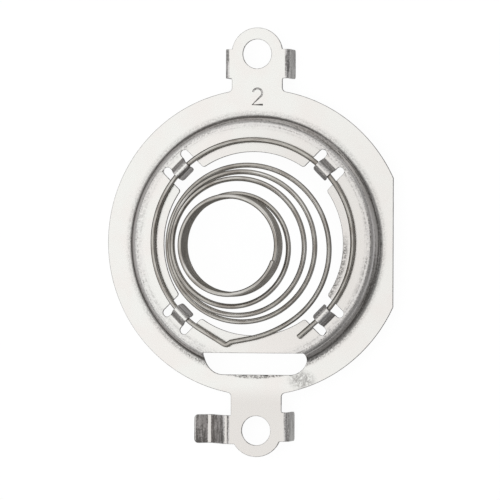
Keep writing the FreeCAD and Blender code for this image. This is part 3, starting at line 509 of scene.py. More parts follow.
class Value:
    """An output in a shader. Sums and products of it add Math nodes."""

    def __init__(self, nodes: "Nodes", socket: bpy.types.NodeSocket) -> None:
        """Wraps one output socket of a tree."""
        self.nodes, self.socket = nodes, socket

    def maths(self, operation: str, other: "Value | float" = 0.0) -> "Value":
        """Adds a Math node for this value and another."""
        return self.nodes.value("ShaderNodeMath", 0, {0: self, 1: other}, operation=operation)

    def __add__(self, other: "Value | float") -> "Value":
        """Their sum."""
        return self.maths("ADD", other)

    def __sub__(self, other: "Value | float") -> "Value":
        """Their difference."""
        return self.maths("SUBTRACT", other)

    def __mul__(self, other: "Value | float") -> "Value":
        """Their product."""
        return self.maths("MULTIPLY", other)

    def __abs__(self) -> "Value":
        """The value without its sign."""
        return self.maths("ABSOLUTE")

    def peak(self, *others: "Value | float") -> "Value":
        """The largest of this value and others.

        Args:
            others: The others.

        Returns:
            The largest.
        """
        top = self
        for other in others:
            top = top.maths("MAXIMUM", other)
        return top

    def span(self, low: float, high: float, to_low: float = 0.0, to_high: float = 1.0,
             kind: str = "SMOOTHSTEP") -> "Value":
        """Maps a span of values to another, and holds them there beyond it.

        Args:
            low: Where the span starts.
            high: Where it ends.
            to_low: What its start becomes.
            to_high: What its end becomes.
            kind: SMOOTHSTEP where it eases in and out, or LINEAR.

        Returns:
            The mapped value.
        """
        inputs = {"Value": self, "From Min": low, "From Max": high, "To Min": to_low, "To Max": to_high}
        return self.nodes.value("ShaderNodeMapRange", "Result", inputs, interpolation_type=kind)


class Nodes:
    """Places shader nodes in one tree and links them."""

    def __init__(self, tree: bpy.types.NodeTree) -> None:
        """Clears the node tree of a material or world."""
        self.tree = tree
        tree.nodes.clear()

    def add(self, kind: str, inputs: dict[str | int, object], **settings: object) -> bpy.types.Node:
        """Adds one node.

        Args:
            kind: The node's type.
            inputs: Numbers or values for its inputs, by name or number.
            settings: The node's own settings.

        Returns:
            The node.
        """
        node = self.tree.nodes.new(kind)
        for name, setting in settings.items():
            setattr(node, name, setting)
        for name, given in inputs.items():
            if isinstance(given, Value):
                self.tree.links.new(given.socket, node.inputs[name])
            else:
                node.inputs[name].default_value = given
        return node

    def value(self, kind: str, output: str | int, inputs: dict[str | int, object] | None = None,
              **settings: object) -> Value:
        """Adds one node for one of its outputs."""
        return Value(self, self.add(kind, inputs or {}, **settings).outputs[output])

    def noise(self, place: Value, scale: float, detail: float, roughness: float) -> Value:
        """Adds a noise pattern.

        Args:
            place: The coordinates.
            scale: Patches for each unit of length.
            detail: Levels of finer noise.
            roughness: Share of the finer levels.

        Returns:
            The noise.
        """
        inputs = {"Vector": place, "Scale": scale, "Detail": detail, "Roughness": roughness}
        return self.value("ShaderNodeTexNoise", "Fac", inputs)

    def mix(self, share: Value, first: object, second: object, kind: Mix = Mix.COLOUR) -> Value:
        """Mixes two colours, numbers or vectors.

        Args:
            share: Share of the second.
            first: The first.
            second: The second.
            kind: What they are.

        Returns:
            The mixture.
        """
        data_type, at, output = kind.value
        return self.value("ShaderNodeMix", output, {0: share, at: first, at + 1: second}, data_type=data_type)

    def parts(self, vector: Value) -> list[Value]:
        """A vector's three parts."""
        return [Value(self, part) for part in self.add("ShaderNodeSeparateXYZ", {0: vector}).outputs]

    def rows(self, parts: Iterable[Value], scales: Span) -> Value:
        """A vector of three parts, each times its scale."""
        return self.value("ShaderNodeCombineXYZ", 0, {n: p * s for n, (p, s) in enumerate(zip(parts, scales))})

    def length(self, first: Value, second: Value) -> Value:
        """The length of a vector with these two parts."""
        return (first * first + second * second).maths("SQRT")

    def millimetres(self) -> Value:
        """The place on the piece, in millimetres."""
        place = self.value("ShaderNodeTexCoord", "Object")
        return self.value("ShaderNodeVectorMath", 0, {0: place, "Scale": 1.0 / MM}, operation="SCALE")

    def normal(self) -> list[Value]:
        """The surface normal's three parts."""
        return self.parts(self.value("ShaderNodeNewGeometry", "Normal"))

    def metal(self, colour: Value, edge_tint: Colour, rough: Value, height: Value, relief: Pair) -> Value:
        """Adds the shader of a metal with a fine relief.

        Args:
            colour: Its colour.
            edge_tint: Its colour share at grazing angles.
            rough: Its roughness.
            height: The relief's pattern.
            relief: The relief's strength, and its depth in millimetres.

        Returns:
            The shader.
        """
        bump = self.value("ShaderNodeBump", 0, {"Strength": relief[0], "Distance": relief[1] * MM, "Height": height})
        return self.value("ShaderNodeBsdfPrincipled", 0, {
            "Base Color": colour, "Metallic": 1.0, "Roughness": rough, "Specular Tint": edge_tint, "Normal": bump})


class Finish:
    """A material that a subclass describes."""

    def make(self, name: str) -> bpy.types.Material:
        """Builds the material.

        Args:
            name: The material's name.

        Returns:
            The material.
        """
        material = bpy.data.materials.new(name)
        material.use_nodes = True
        n = Nodes(material.node_tree)
        n.add("ShaderNodeOutputMaterial", {"Surface": self.surface(n)})
        return material

    def surface(self, n: Nodes) -> Value:
        """Builds the surface's shader."""
        raise NotImplementedError


@dataclass(frozen=True)
class Spot:
    """What the sheet's pattern reads at each spot: its place, the fine grain and where on the plate it is.

    Rough is the grain about 0. Flat is 1 where the surface faces up or down, and 0 where it stands upright.
    """

    nodes: Nodes
    place: Value
    x: Value
    y: Value
    z: Value
    radius: Value
    angle: Value
    grain: Value
    rough: Value
    flat: Value
    on_tab: Value
    on_step: Value


@dataclass(frozen=True)
class SheetFinish(Finish):
    """Bright stamped sheet: pale where it is flat, streaked where it was drawn, bent or cut, and darker by painted
    shade where its surface leans. Painted shade also dims its flat sheet towards the right and on the lower tab.

    A noise's three numbers are its scale, detail and roughness. A span's are its start and end, and what
    they become.
    """

    pale: Colour = (0.87, 0.87, 0.84, 1.0)
    warm: Colour = (0.87, 0.84, 0.81, 1.0)
    # Painted shade: the flat sheet darkens to this colour towards its right and on the lower tab.
    shade_tone: Colour = (0.74, 0.71, 0.68, 1.0)
    speck: Colour = (0.66, 0.65, 0.62, 1.0)
    # Colour where the surface leans: partly forming marks, partly painted shade and painted dark reflection.
    formed_and_shaded: Colour = (0.68, 0.66, 0.65, 1.0)
    # Darkest colour: scuffs, painted shade at the step's foot and a painted dark reflection on the opening's rim.
    scuff_and_shade: Colour = (0.22, 0.21, 0.2, 1.0)
    # Bends: the first colour is their own, the second dark streaks of forming marks and painted shade beside the
    # clips' crowns.
    bent: Colour = (0.72, 0.7, 0.69, 1.0)
    dark_streak_and_shade: Colour = (0.26, 0.25, 0.24, 1.0)
    edge_tint: Colour = (0.5, 0.49, 0.5, 1.0)
    gloss: Span = (0.3, 0.8, 0.24, 0.33)
    worked_rough: float = 0.08
    grain_height: float = 0.2
    relief: Pair = (0.3, 0.02)
    tab_start: float = 17.0
    step_start: Span = (12.0, 12.1)
    step_stop: Span = (15.2, 15.1)
    grain_noise: Span = (5.0, 5.0, 0.7)
    streak_noise: Span = (1.0, 4.0, 0.62)
    ring_streaks: Span = (1.8, 5.5, 3.0)
    tab_streaks: Span = (4.5, 0.4, 1.7)
    grain_in_streaks: float = 0.7
    # Painted shade: darker towards the foot of the step's wall.
    foot_shade: Span = (1.1, 0.6, -0.04, 0.16)
    drawn_marks: Span = (0.4, 0.66)
    bend_marks: Span = (0.38, 0.62)
    side_marks: Span = (0.42, 0.6, 0.0, 0.55)
    tab_sides: Span = (0.35, 0.15)
    # Painted shade on the clips beside their bright crowns.
    crown_shade: Span = (0.985, 0.85, 0.0, 0.45)
    drawn_ragged: float = 0.7
    drawn_lean: Span = (0.9, 0.66)
    speckle_noise: Span = (5.5, 4.0, 0.65)
    speckle: Span = (0.36, 0.62, 0.1, 1.0)
    halo_lean: Span = (0.9995, 0.985)
    halo_near: Span = (-6.0, -13.0, 0.4, 0.95)
    halo_high: Span = (1.2, 1.6, 0.0, 0.85)
    margin_start: Span = (11.6, 12.3)
    margin_stop: Span = (12.8, 12.6)
    margin_side: Span = (2.0, 9.0, 0.6, 1.0)
    bend_ragged: float = 2.5
    bend_lean: Span = (0.002, 0.03)
    number_start: Span = (13.8, 13.9)
    number_level: float = 0.2
    number_depth: float = 0.085
    crescent_ragged: float = 0.5
    crescent: Span = (14.3, 14.15)
    crescent_start: Span = (-13.2, -13.6)
    cloud_noise: Span = (0.26, 4.0, 0.55)
    cloud: Span = (0.38, 0.66)
    inside_step: Span = (12.9, 12.6)
    # Painted shade towards the right and on the lower tab.
    step_shade: Span = (-9.0, 12.0, 0.05, 0.7)
    flange_shade: Span = (-2.0, 16.0, 0.05, 0.3)
    tab_shade: Span = (-14.5, -17.0, 0.0, 0.8)
    specks: Span = (0.62, 0.78, 0.0, 0.1)
    spot_noise: Span = (4.2, 5.0, 0.8)
    spots: Span = (0.4, 0.58)
    scuff_place: Pair = (4.9, -14.35)
    scuff_squash: float = 0.7
    scuff: Span = (1.3, 0.4, 0.0, 0.7)
    # Painted dark reflection of the coil on the opening's rim at the right.
    rim: Span = (10.3, 9.85)
    rim_start: Span = (-1.1, -0.6)
    rim_stop: Span = (0.15, -0.1)

    def surface(self, n: Nodes) -> Value:
        """Builds the surface's shader.

        Args:
            n: The material's nodes.

        Returns:
            The shader.
        """
        at = self.read(n)
        streaks = self.streaks(at)
        formed_and_shaded, wear_and_reflection = self.formed_and_shaded_share(at), self.wear_and_reflection_share(at)
        # Painted shade and a painted dark reflection come in through both shares and the darkest colour.
        colour = n.mix(formed_and_shaded, self.flat_colour(at), self.worked_colour(at, streaks))
        colour = n.mix(wear_and_reflection, colour, self.scuff_and_shade)
        rough = at.grain.span(*self.gloss, kind="LINEAR") + formed_and_shaded.peak(wear_and_reflection) * self.worked_rough
        height = at.grain * self.grain_height + streaks * formed_and_shaded
        return n.metal(colour, self.edge_tint, rough, height, self.relief)

    def read(self, n: Nodes) -> Spot:
        """Reads what the pattern needs at each spot.

        Args:
            n: The material's nodes.

        Returns:
            What it reads.
        """
        place = n.millimetres()
        x, y, z = n.parts(place)
        radius = n.length(x, y)
        grain = n.noise(place, *self.grain_noise)
        return Spot(n, place, x, y, z, radius, y.maths("ARCTAN2", x), grain, grain - 0.5, abs(n.normal()[2]),
                    abs(y).maths("GREATER_THAN", self.tab_start),
                    radius.span(*self.step_start) * radius.span(*self.step_stop))

    def streaks(self, at: Spot) -> Value:
        """Draws forming streaks: round the step and the clips, and along the bends of ears and finger.

        Args:
            at: The spot.

        Returns:
            The streaks.
        """
        n = at.nodes
        ring = n.rows((at.angle, at.radius, at.z), self.ring_streaks)
        bands = n.rows((at.x, at.y, at.z), self.tab_streaks)
        return n.noise(n.mix(at.on_tab, ring, bands, Mix.VECTOR), *self.streak_noise)

    def worked_colour(self, at: Spot, streaks: Value) -> Value:
        """Colours the sheet where it was worked: streaked, with painted shade darkest at the step's foot, dark
        streaks in bends, and painted shade on the clips beside their crowns.

        Args:
            at: The spot.
            streaks: The forming streaks.

        Returns:
            The colour.
        """
        n = at.nodes
        rubbed = streaks + at.rough * self.grain_in_streaks
        # Painted shade, darker towards the foot of the step's wall.
        drawn = (rubbed + at.z.span(*self.foot_shade)).span(*self.drawn_marks)
        bent = n.mix(rubbed.span(*self.bend_marks), self.bent, self.dark_streak_and_shade)
        side = n.mix(rubbed.span(*self.side_marks), self.pale, self.dark_streak_and_shade)
        bent = n.mix(at.flat.span(*self.tab_sides) * at.on_tab, bent, side)
        # Painted shade on leaning clip faces beside the bright crown.
        crown_side_shade = (at.flat.span(*self.crown_shade) - at.on_tab).peak(0.0)
        bent = n.mix(crown_side_shade, bent, self.dark_streak_and_shade)
        return n.mix(at.on_step, bent, n.mix(drawn, self.formed_and_shaded, self.scuff_and_shade))

    def formed_and_shaded_share(self, at: Spot) -> Value:
        """Says where the sheet is darkened by how far its surface leans, with a ragged border: partly forming marks
        where it was drawn, bent or cut, and partly painted shade and painted dark reflection on leaning faces.

        Bends and cut edges darken at once. The drawn step keeps its shine longer, under a faint speckle. The share
        also darkens a speckled crescent below the slot and a speckled margin inside the shoulder, stronger towards
        the right, and paints shade in the number's groove.

        Args:
            at: The spot.

        Returns:
            The share, 0 on flat sheet and 1 where it leans.
        """
        n = at.nodes
        speckle = n.noise(at.place, *self.speckle_noise).span(*self.speckle)
        halo = at.flat.span(*self.halo_lean) * at.y.span(*self.halo_near).peak(at.z.span(*self.halo_high))
        drawn = (at.flat + at.rough * self.drawn_ragged).span(*self.drawn_lean).peak(speckle * halo)
        lean = at.flat * -1.0 + 1.0
        bent = (lean * (at.rough * self.bend_ragged + 1.0)).span(*self.bend_lean)
        margin = speckle * at.radius.span(*self.margin_start) * at.radius.span(*self.margin_stop)
        # Painted shade in the stamped number's groove.
        off_sheet = abs(at.z - self.number_level).maths("LESS_THAN", self.number_depth)
        ragged = at.radius + at.rough * self.crescent_ragged
        crescent = ragged.span(*self.crescent) * at.y.span(*self.crescent_start) * speckle
        return n.mix(at.on_step, bent, drawn, Mix.NUMBER).peak(
            crescent, margin * at.x.span(*self.margin_side), at.y.span(*self.number_start) * off_sheet)

    def flat_colour(self, at: Spot) -> Value:
        """Mottles the flat sheet, and paints shade on it towards its right and on the lower tab.

        Args:
            at: The spot.

        Returns:
            The colour.
        """
        n = at.nodes
        colour = n.mix(n.noise(at.place, *self.cloud_noise).span(*self.cloud), self.pale, self.warm)
        # Painted shade: darker towards the right and on the lower tab.
        beyond = at.x.span(*self.flange_shade).peak(at.y.span(*self.tab_shade))
        share = n.mix(at.radius.span(*self.inside_step), beyond, at.x.span(*self.step_shade), Mix.NUMBER)
        return n.mix(at.grain.span(*self.specks), n.mix(share, colour, self.shade_tone), self.speck)

    def wear_and_reflection_share(self, at: Spot) -> Value:
        """Says where the sheet is scuffed beside the slot's end, and where a dark reflection of the coil is painted
        on the opening's rim at the right.

        Args:
            at: The spot.

        Returns:
            The share, 0 elsewhere.
        """
        n = at.nodes
        spots = n.noise(at.place, *self.spot_noise).span(*self.spots)
        off_x, off_y = (at.x - self.scuff_place[0]) * self.scuff_squash, at.y - self.scuff_place[1]
        # Painted dark reflection of the coil on the opening's rim at the right.
        rim = at.radius.span(*self.rim) * at.angle.span(*self.rim_start) * at.angle.span(*self.rim_stop)
        return spots * n.length(off_x, off_y).span(*self.scuff).peak(rim)


@dataclass(frozen=True)
class WireFinish(Finish):
    """Drawn spring wire: brownish grey with fine streaks along its length, painted shade on its sides and a painted
    dark line along one flank.

    A noise's numbers and a span's are in the order that the sheet's are.
    """

    base: Colour = (0.5, 0.48, 0.44, 1.0)
    brown: Colour = (0.3, 0.27, 0.24, 1.0)
    bright: Colour = (0.86, 0.85, 0.83, 1.0)
    # Painted shade on the wire's sides, where they turn from the way up and a little to the right.
    edge_shade: Colour = (0.3, 0.285, 0.26, 1.0)
    # Painted dark line on the flank facing left and towards +Y.
    flank_shade: Colour = (0.12, 0.115, 0.1, 1.0)
    edge_tint: Colour = (0.3, 0.29, 0.28, 1.0)
    gloss: Span = (0.3, 0.7, 0.22, 0.38)
    relief: Pair = (0.35, 0.015)
    streak_noise: Span = (1.0, 4.0, 0.62)
    streak_scales: Span = (3.0, 3.0, 160.0)
    cloud_noise: Span = (0.45, 3.0, 0.5)
    cloud: Span = (0.35, 0.7)
    bright_streaks: Span = (0.5, 0.66, 0.0, 0.9)
    brown_streaks: Span = (0.46, 0.3, 0.0, 0.6)
    # Painted shade: where the wire turns from the way up and a little right, and along the flank facing left and
    # towards +Y.
    bright_way: Pair = (0.22, 0.975)
    side_shade: Span = (0.88, 0.55, 0.0, 0.92)
    flank_shade_way: Pair = (-0.82, 0.57)
    line: Span = (0.35, 0.7, 0.0, 0.85)

    def surface(self, n: Nodes) -> Value:
        """Builds the surface's shader.

        Args:
            n: The material's nodes.

        Returns:
            The shader.
        """
        around, along, _ = n.parts(n.value("ShaderNodeUVMap", 0, uv_map="UVMap"))
        turn = around * (2.0 * math.pi)
        rows = n.rows((turn.maths("COSINE"), turn.maths("SINE"), along), self.streak_scales)
        streaks = n.noise(rows, *self.streak_noise)
        cloud = n.noise(n.millimetres(), *self.cloud_noise).span(*self.cloud)
        x, y, z = n.normal()
        # Painted shade on the wire's sides, away from a fixed way up and a little to the right.
        facing = abs(x * self.bright_way[0] + z * self.bright_way[1])
        # Painted dark line on the flank facing left and towards +Y.
        flank = x * self.flank_shade_way[0] + y * self.flank_shade_way[1]
        colour = n.mix(cloud, self.base, self.brown)
        for share, other in ((streaks.span(*self.bright_streaks), self.bright),
                             (streaks.span(*self.brown_streaks), self.brown),
                             (facing.span(*self.side_shade), self.edge_shade), (flank.span(*self.line), self.flank_shade)):
            colour = n.mix(share, colour, other)
        rough = streaks.span(*self.gloss, kind="LINEAR")
        return n.metal(colour, self.edge_tint, rough, streaks, self.relief)


@dataclass(frozen=True)
class FloorFinish(Finish):
    """A plain white floor, seen as white, that still takes a soft shadow."""

    white: Colour = (0.95, 0.95, 0.95, 1.0)
    own_light: float = 0.95
    mirror_light: float = 0.62

    def surface(self, n: Nodes) -> Value:
        """Builds the surface's shader.

        Args:
            n: The material's nodes.

        Returns:
            The shader.
        """
        seen, mirrored = (n.value("ShaderNodeLightPath", ray) for ray in ("Is Camera Ray", "Is Glossy Ray"))
        plain = n.value("ShaderNodeBsdfDiffuse", 0, {"Color": self.white})
        glow = n.value("ShaderNodeEmission", 0, {"Color": WHITE, "Strength": seen + mirrored * self.mirror_light})
        return n.value("ShaderNodeMixShader", 0, {0: seen.peak(mirrored) * self.own_light, 1: plain, 2: glow})


# Retainer plate


@dataclass(frozen=True)
class StripRoot:
    """Where an ear or the finger leaves its tab, the reach from the tab's middle line to the first bend.

    The setback is the strip's middle, inward from the screw hole, and the fillet its corner with the neck.
    """

    reach: float
    width: float
    setback: float
    fillet: float


@dataclass
class RetainerPlate:
    """The stamped plate with its raised step, screw tabs, ears, contact finger and wire clips."""

    name: str = "plate_sheet"
    thickness: float = 0.3
    step_height: float = 1.6
    stock_radius: float = 8.45
    opening_radius: float = 9.55
    opening_shift: float = -0.15
    step_radius: float = 12.7
    step_shift: Pair = (-0.08, -0.15)
    flange_radius: float = 16.0
    wall_lean: float = 23.6
    shoulder_radius: float = 0.8
    foot_radius: float = 0.75
    foot_ease: float = 10.0
    ease_radius: float = 3.0
    flat_distance: float = 14.53
    hole_distance: float = 19.66
    hole_radius: float = 1.53
    hole_sides: int = 72
    tab_end_radius: float = 2.75
    neck_half: float = 2.7
    neck_fillet: float = 0.42
    top_ear: StripRoot = StripRoot(reach=2.88, width=3.05, setback=1.02, fillet=0.16)
    low_ear: StripRoot = StripRoot(reach=2.88, width=3.05, setback=0.4, fillet=0.16)
    finger: StripRoot = StripRoot(reach=2.81, width=3.0, setback=0.06, fillet=0.1)
    ear_depth: float = 2.85
    ear_bend: float = 0.42
    bend_radius: float = 0.3
    ear_tip_radius: float = 0.3
    finger_step_angle: float = 60.0
    finger_step_radius: float = 0.2
    finger_step: float = 0.08
    finger_ledge: float = 0.12
    finger_slope: float = 53.5
    finger_sole: float = 0.25
    finger_rise: float = 42.0
    finger_tip: float = 1.42
    finger_tip_radius: float = 0.42
    slot_top: float = -11.54
    slot_depth: float = 2.29
    slot_half_width: float = 5.5
    slot_corner: float = 1.94
    slot_top_corner: float = 0.25
    clip_angles: tuple[float, ...] = (45.0, 135.0, 225.0, 315.0)
    clip_width: float = 1.75
    clip_gap: float = 0.85
    slit_end: float = 12.15
    clip_rise: float = 60.0
    clip_wrap: float = 165.0
    clip_tip: float = 0.86
    clip_tip_radius: float = 0.35
    notch_corner: float = 0.3
    ring_radius: float = 10.65
    ring_height: float = 2.185
    wrap_radius: float = 0.475
    blank_radius: float = 24.0
    mark_place: Pair = (0.05, 15.2)
    mark_width: float = 0.22
    mark_lift: float = 0.0275
    mark_angles: range = range(165, -45, -15)
    mark_bow: Pair = (0.5, 0.36)
    mark_foot: tuple[Pair, Pair] = ((-0.56, -0.84), (0.58, -0.84))
    turns: int = 144
    kept_angles: tuple[float, ...] = (10.0, 110.0, 190.0, 300.0)
    section_step: float = 6.0
    rim_step: float = 1.5
    notch_step: float = 10.0
    smoothing: Smoothing = field(default_factory=Smoothing)
    finish: SheetFinish = field(default_factory=SheetFinish)

    def drawn_disc(self) -> Thing:
        """Spins the section of flange, wall and step round Z, out past the tabs.

        Returns:
            The drawn blank, still without its outline and openings.
        """
        sheet, stock, blank = self.thickness, self.stock_radius, self.blank_radius
        lean, ease = math.radians(self.wall_lean), math.radians(self.foot_ease)
        bend, top = 90.0 - self.wall_lean, sheet + self.step_height
        half_bend = math.tan(math.radians(bend / 2))
        outer_trim, inner_trim = self.shoulder_radius * half_bend, (self.shoulder_radius - sheet) * half_bend
        slope = Vector((math.sin(lean), -math.cos(lean)))
        across = Vector((-slope.y, slope.x))
        shoulder = (self.step_radius - outer_trim, top - self.shoulder_radius)
        level = sheet + self.ease_radius * (1 - math.cos(ease)) + self.foot_radius * math.cos(ease)
        wall_end = level - self.foot_radius * across.y
        wall_foot = Vector((self.step_radius, top)) + slope * ((wall_end - top) / slope.y)
        foot = wall_foot + across * self.foot_radius
        rise = (foot.x + (self.ease_radius - self.foot_radius) * math.sin(ease), sheet + self.ease_radius)

        pen = Pen("drawn_disc", (stock, top), Axis.Y, self.section_step)
        pen.line((self.step_radius - outer_trim, top))
        pen.arc(shoulder, bend)
        pen.line(wall_foot)
        pen.arc(foot, self.foot_ease - bend)
        pen.arc(rise, -self.foot_ease)
        pen.line((blank, sheet), (blank, 0.0), (rise[0], 0.0))
        pen.arc(rise, self.foot_ease)
        pen.arc(foot, bend - self.foot_ease)
        pen.line(Vector((self.step_radius - sheet * half_bend, top - sheet)) + slope * inner_trim)
        pen.arc(shoulder, -bend)
        pen.line((stock, top - sheet))
        disc = pen.close()
        enter(disc)
        bpy.ops.mesh.select_all(action="SELECT")
        bpy.ops.mesh.spin(steps=self.turns, angle=math.radians(360.0), center=(0.0, 0.0, 0.0), axis=Axis.Z.value)
        pick(disc, Part.FACE, lambda face: len(face.verts) > 4)
        bpy.ops.mesh.delete(type="ONLY_FACE")
        leave()
        face_outward(disc, merge=2 * ONE_POINT)
        self.join_flats(disc)
        disc.location.xy = self.step_shift
        apply_place(disc)
        return disc

    def join_flats(self, disc: Thing) -> None:
        """Joins the facets of the level rings into a few large faces, so that the cuts leave no slivers.

        Args:
            disc: The spun disc.
        """
        shortest, near_angle = 1.0, 0.5

        def is_radial(edge: bmesh.types.BMEdge) -> bool:
            """Whether an edge lies along a radius of a level ring, away from the kept angles."""
            low, high = ends(edge)
            angle = math.degrees(math.atan2(low.y, low.x)) % 360.0
            return (abs(low.z - high.z) <= SAME_PLACE and abs(low.xy.length - high.xy.length) >= shortest
                    and all(abs(angle - kept) > near_angle for kept in self.kept_angles))

        enter(disc, Part.EDGE)
        pick(disc, Part.EDGE, is_radial)
        bpy.ops.mesh.dissolve_edges(use_verts=False)
        leave()

    def neck_centre(self) -> Vector:
        """The centre of the fillet between the flange's rim and a tab's neck."""
        beside, ring = self.neck_half + self.neck_fillet, self.flange_radius + self.neck_fillet
        return Vector((beside, math.sqrt(ring ** 2 - beside ** 2)))

    def root_ends(self, root: StripRoot) -> tuple[float, float, float]:
        """Finds where a strip leaves its tab.

        Args:
            root: The strip's root.

        Returns:
            The strip's lower and upper edge, and where the tab's round end meets the upper one.
        """
        middle = self.hole_distance - root.setback
        low, high = middle - root.width / 2, middle + root.width / 2
        return low, high, math.sqrt(self.tab_end_radius ** 2 - (high - self.hole_distance) ** 2)

    def draw_tab(self, pen: Pen, turn: float, near: StripRoot, far: StripRoot) -> None:
        """Draws one screw tab's outline, from its neck's first fillet to its last.

        Args:
            pen: The pen, which has reached the rim beside the tab.
            turn: 0 for the tab towards +Y, and 180 for the other.
            near: The root of the strip that the pen reaches first.
            far: The root of the strip on the tab's other side.
        """
        neck, fillet = self.neck_half, self.neck_centre()
        sweep = math.degrees(math.atan2(fillet.y, fillet.x))
        (low, high, near_x), (far_low, far_high, far_x) = self.root_ends(near), self.root_ends(far)
        pen.turn_to(turn)
        pen.arc(fillet, -sweep)
        pen.line((neck, low - near.fillet))
        pen.arc((neck + near.fillet, low - near.fillet), -90.0)
        pen.line((near.reach, low), (near.reach, high), (near_x, high))
        start, stop = (math.degrees(math.atan2(edge - self.hole_distance, x))
                       for edge, x in ((high, near_x), (far_high, -far_x)))
        pen.arc((0.0, self.hole_distance), stop - start)
        pen.line((-far.reach, far_high), (-far.reach, far_low), (-neck - far.fillet, far_low))
        pen.arc((-neck - far.fillet, far_low - far.fillet), -90.0)
        pen.line((-neck, fillet.y))
        pen.arc((-fillet.x, fillet.y), -sweep)
        pen.turn_to(0.0)

    def plan_outline(self) -> Thing:
        """Draws the stamped outline: the flange's rim with its straight cut, and both screw tabs.

        Returns:
            The solid whose inside is kept.
        """
        centre = (0.0, 0.0)
        rim = self.neck_centre() * (self.flange_radius / (self.flange_radius + self.neck_fillet))
        flat_y = math.sqrt(self.flange_radius ** 2 - self.flat_distance ** 2)
        rim_angle = math.degrees(math.atan2(rim.y, rim.x))
        to_flat = rim_angle - math.degrees(math.atan2(flat_y, self.flat_distance))
        pen = Pen("plan_outline", (self.flat_distance, flat_y))
        pen.arc(centre, to_flat, self.rim_step)
        self.draw_tab(pen, 0.0, self.top_ear, self.top_ear)
        pen.arc(centre, 2 * rim_angle, self.rim_step)
        self.draw_tab(pen, 180.0, self.finger, self.low_ear)
        pen.arc(centre, to_flat, self.rim_step)
        pen.line((self.flat_distance, flat_y))
        return pen.solid()

    def notch(self, turn: float) -> tuple[Vector, ...]:
        """Finds the corners where a notch leaves the round opening, as the notch is turned.

        Args:
            turn: The notch's angle about Z.

        Returns:
            For each side the corner's centre, its end on the opening and its end on the notch's side.
        """
        corner, side = self.notch_corner, self.clip_width / 2 + self.clip_gap
        inner = Matrix.Rotation(math.radians(-turn), 2) @ Vector((0.0, self.opening_shift))
        points = []
        for sign in (-1.0, 1.0):
            round_y = sign * (side + corner)
            reach = math.sqrt((self.opening_radius + corner) ** 2 - (round_y - inner.y) ** 2)
            centre = Vector((inner.x + reach, round_y))
            on_opening = inner + (centre - inner) * (self.opening_radius / (self.opening_radius + corner))
            points += [centre, on_opening, Vector((centre.x, sign * side))]
        return tuple(points)

    def opening_outline(self) -> Thing:
        """Draws the round opening with its four notches and their slits as one outline.

        Returns:
            The cutter for all of it.
        """
        half, slit, root = self.clip_width / 2, self.clip_gap / 2, self.clip_root()
        far = self.slit_end - slit
        first, *others = self.clip_angles
        middle = Vector((0.0, self.opening_shift))
        low, low_in, low_side, high, high_in, high_side = self.notch(first)
        pen = Pen("opening_outline", low_in, arc_step=self.notch_step, turn=first)
        for turn in (*others, first):
            pen.arc(low, turn_between(low, low_in, low_side))
            pen.line((far, -half - self.clip_gap))
            pen.arc((far, -half - slit), 180.0)
            pen.line((root, -half), (root, half), (far, half))
            pen.arc((far, half + slit), 180.0)
            pen.line(high_side)
            pen.arc(high, turn_between(high, high_side, high_in))
            low, low_in, low_side, high, high_in, high_side = self.notch(turn)
            pen.turn_to(0.0)
            next_in = Matrix.Rotation(math.radians(turn), 2) @ low_in
            pen.arc(middle, turn_between(middle, pen.point.xy, next_in), self.rim_step)
            pen.turn_to(turn)
        return pen.solid()

    def slot_outline(self) -> Thing:
        """Draws the slot between the opening and the near tab.

        Returns:
            The slot's cutter.
        """
        half, top, low = self.slot_half_width, self.slot_top, self.slot_top - self.slot_depth
        small, big = self.slot_top_corner, self.slot_corner
        pen = Pen("slot_outline", (half, top - small))
        for corner, end in (((half - small, top - small), (-half + small, top)),
                            ((-half + small, top - small), (-half, low + big)),
                            ((-half + big, low + big), (half - big, low)),
                            ((half - big, low + big), (half, top - small))):
            pen.arc(corner, 90.0)
            pen.line(end)
        return pen.solid()

    def hole_cutter(self, side: float) -> Thing:
        """Adds the cutter of one screw hole.

        Args:
            side: 1 for the tab towards +Y, and -1 for the other.

        Returns:
            The cutter.
        """
        place = (0.0, side * self.hole_distance, 0.0)
        bpy.ops.mesh.primitive_cylinder_add(
            vertices=self.hole_sides, radius=self.hole_radius, depth=CUT_HEIGHT, location=place)
        drum = added("screw_hole")
        apply_place(drum)
        return drum

    def mark_cutter(self) -> Thing:
        """Makes the plain number 2 that is stamped beside the far tab, as one stroke.

        Returns:
            The number's cutter, a thin way into the sheet.
        """
        radius, height = self.mark_bow
        angles = [math.radians(angle) for angle in self.mark_angles]
        points = [Vector((radius * math.cos(angle), height + radius * math.sin(angle), 0.0)) for angle in angles]
        points += [Vector((*foot, 0.0)) for foot in self.mark_foot]
        number = add_rail("stamped_number", points)
        number.data.bevel_depth = self.mark_width / 2
        number.data.bevel_resolution = 2
        number.data.use_fill_caps = True
        only(number)
        bpy.ops.object.convert(target="MESH")
        number.location = (*self.mark_place, self.thickness + self.mark_lift)
        apply_place(number)
        face_outward(number)
        return number

    def strip(self, plate: Thing, root: StripRoot, turn: float, side: float) -> FoldedStrip:
        """Starts a strip at the edge of a tab.

        Args:
            plate: The plate.
            root: The strip's root.
            turn: 0 for the right side, and 180 for the left.
            side: 1 for the tab towards +Y, and -1 for the other.

        Returns:
            The strip.
        """
        return FoldedStrip(plate, root.width, self.thickness, root.reach, self.thickness / 2, 0.0,
                           turn, side * (self.hole_distance - root.setback))

    def fold_ear(self, plate: Thing, root: StripRoot, turn: float, side: float) -> None:
        """Folds one ear down beside a tab.

        Args:
            plate: The plate.
            root: The ear's root.
            turn: 0 for the right side, and 180 for the left.
            side: 1 for the tab towards +Y, and -1 for the other.
        """
        length = self.ear_depth + self.thickness / 2 - self.ear_bend
        self.strip(plate, root, turn, side).fold([(-90.0, self.ear_bend, length)], self.ear_tip_radius)

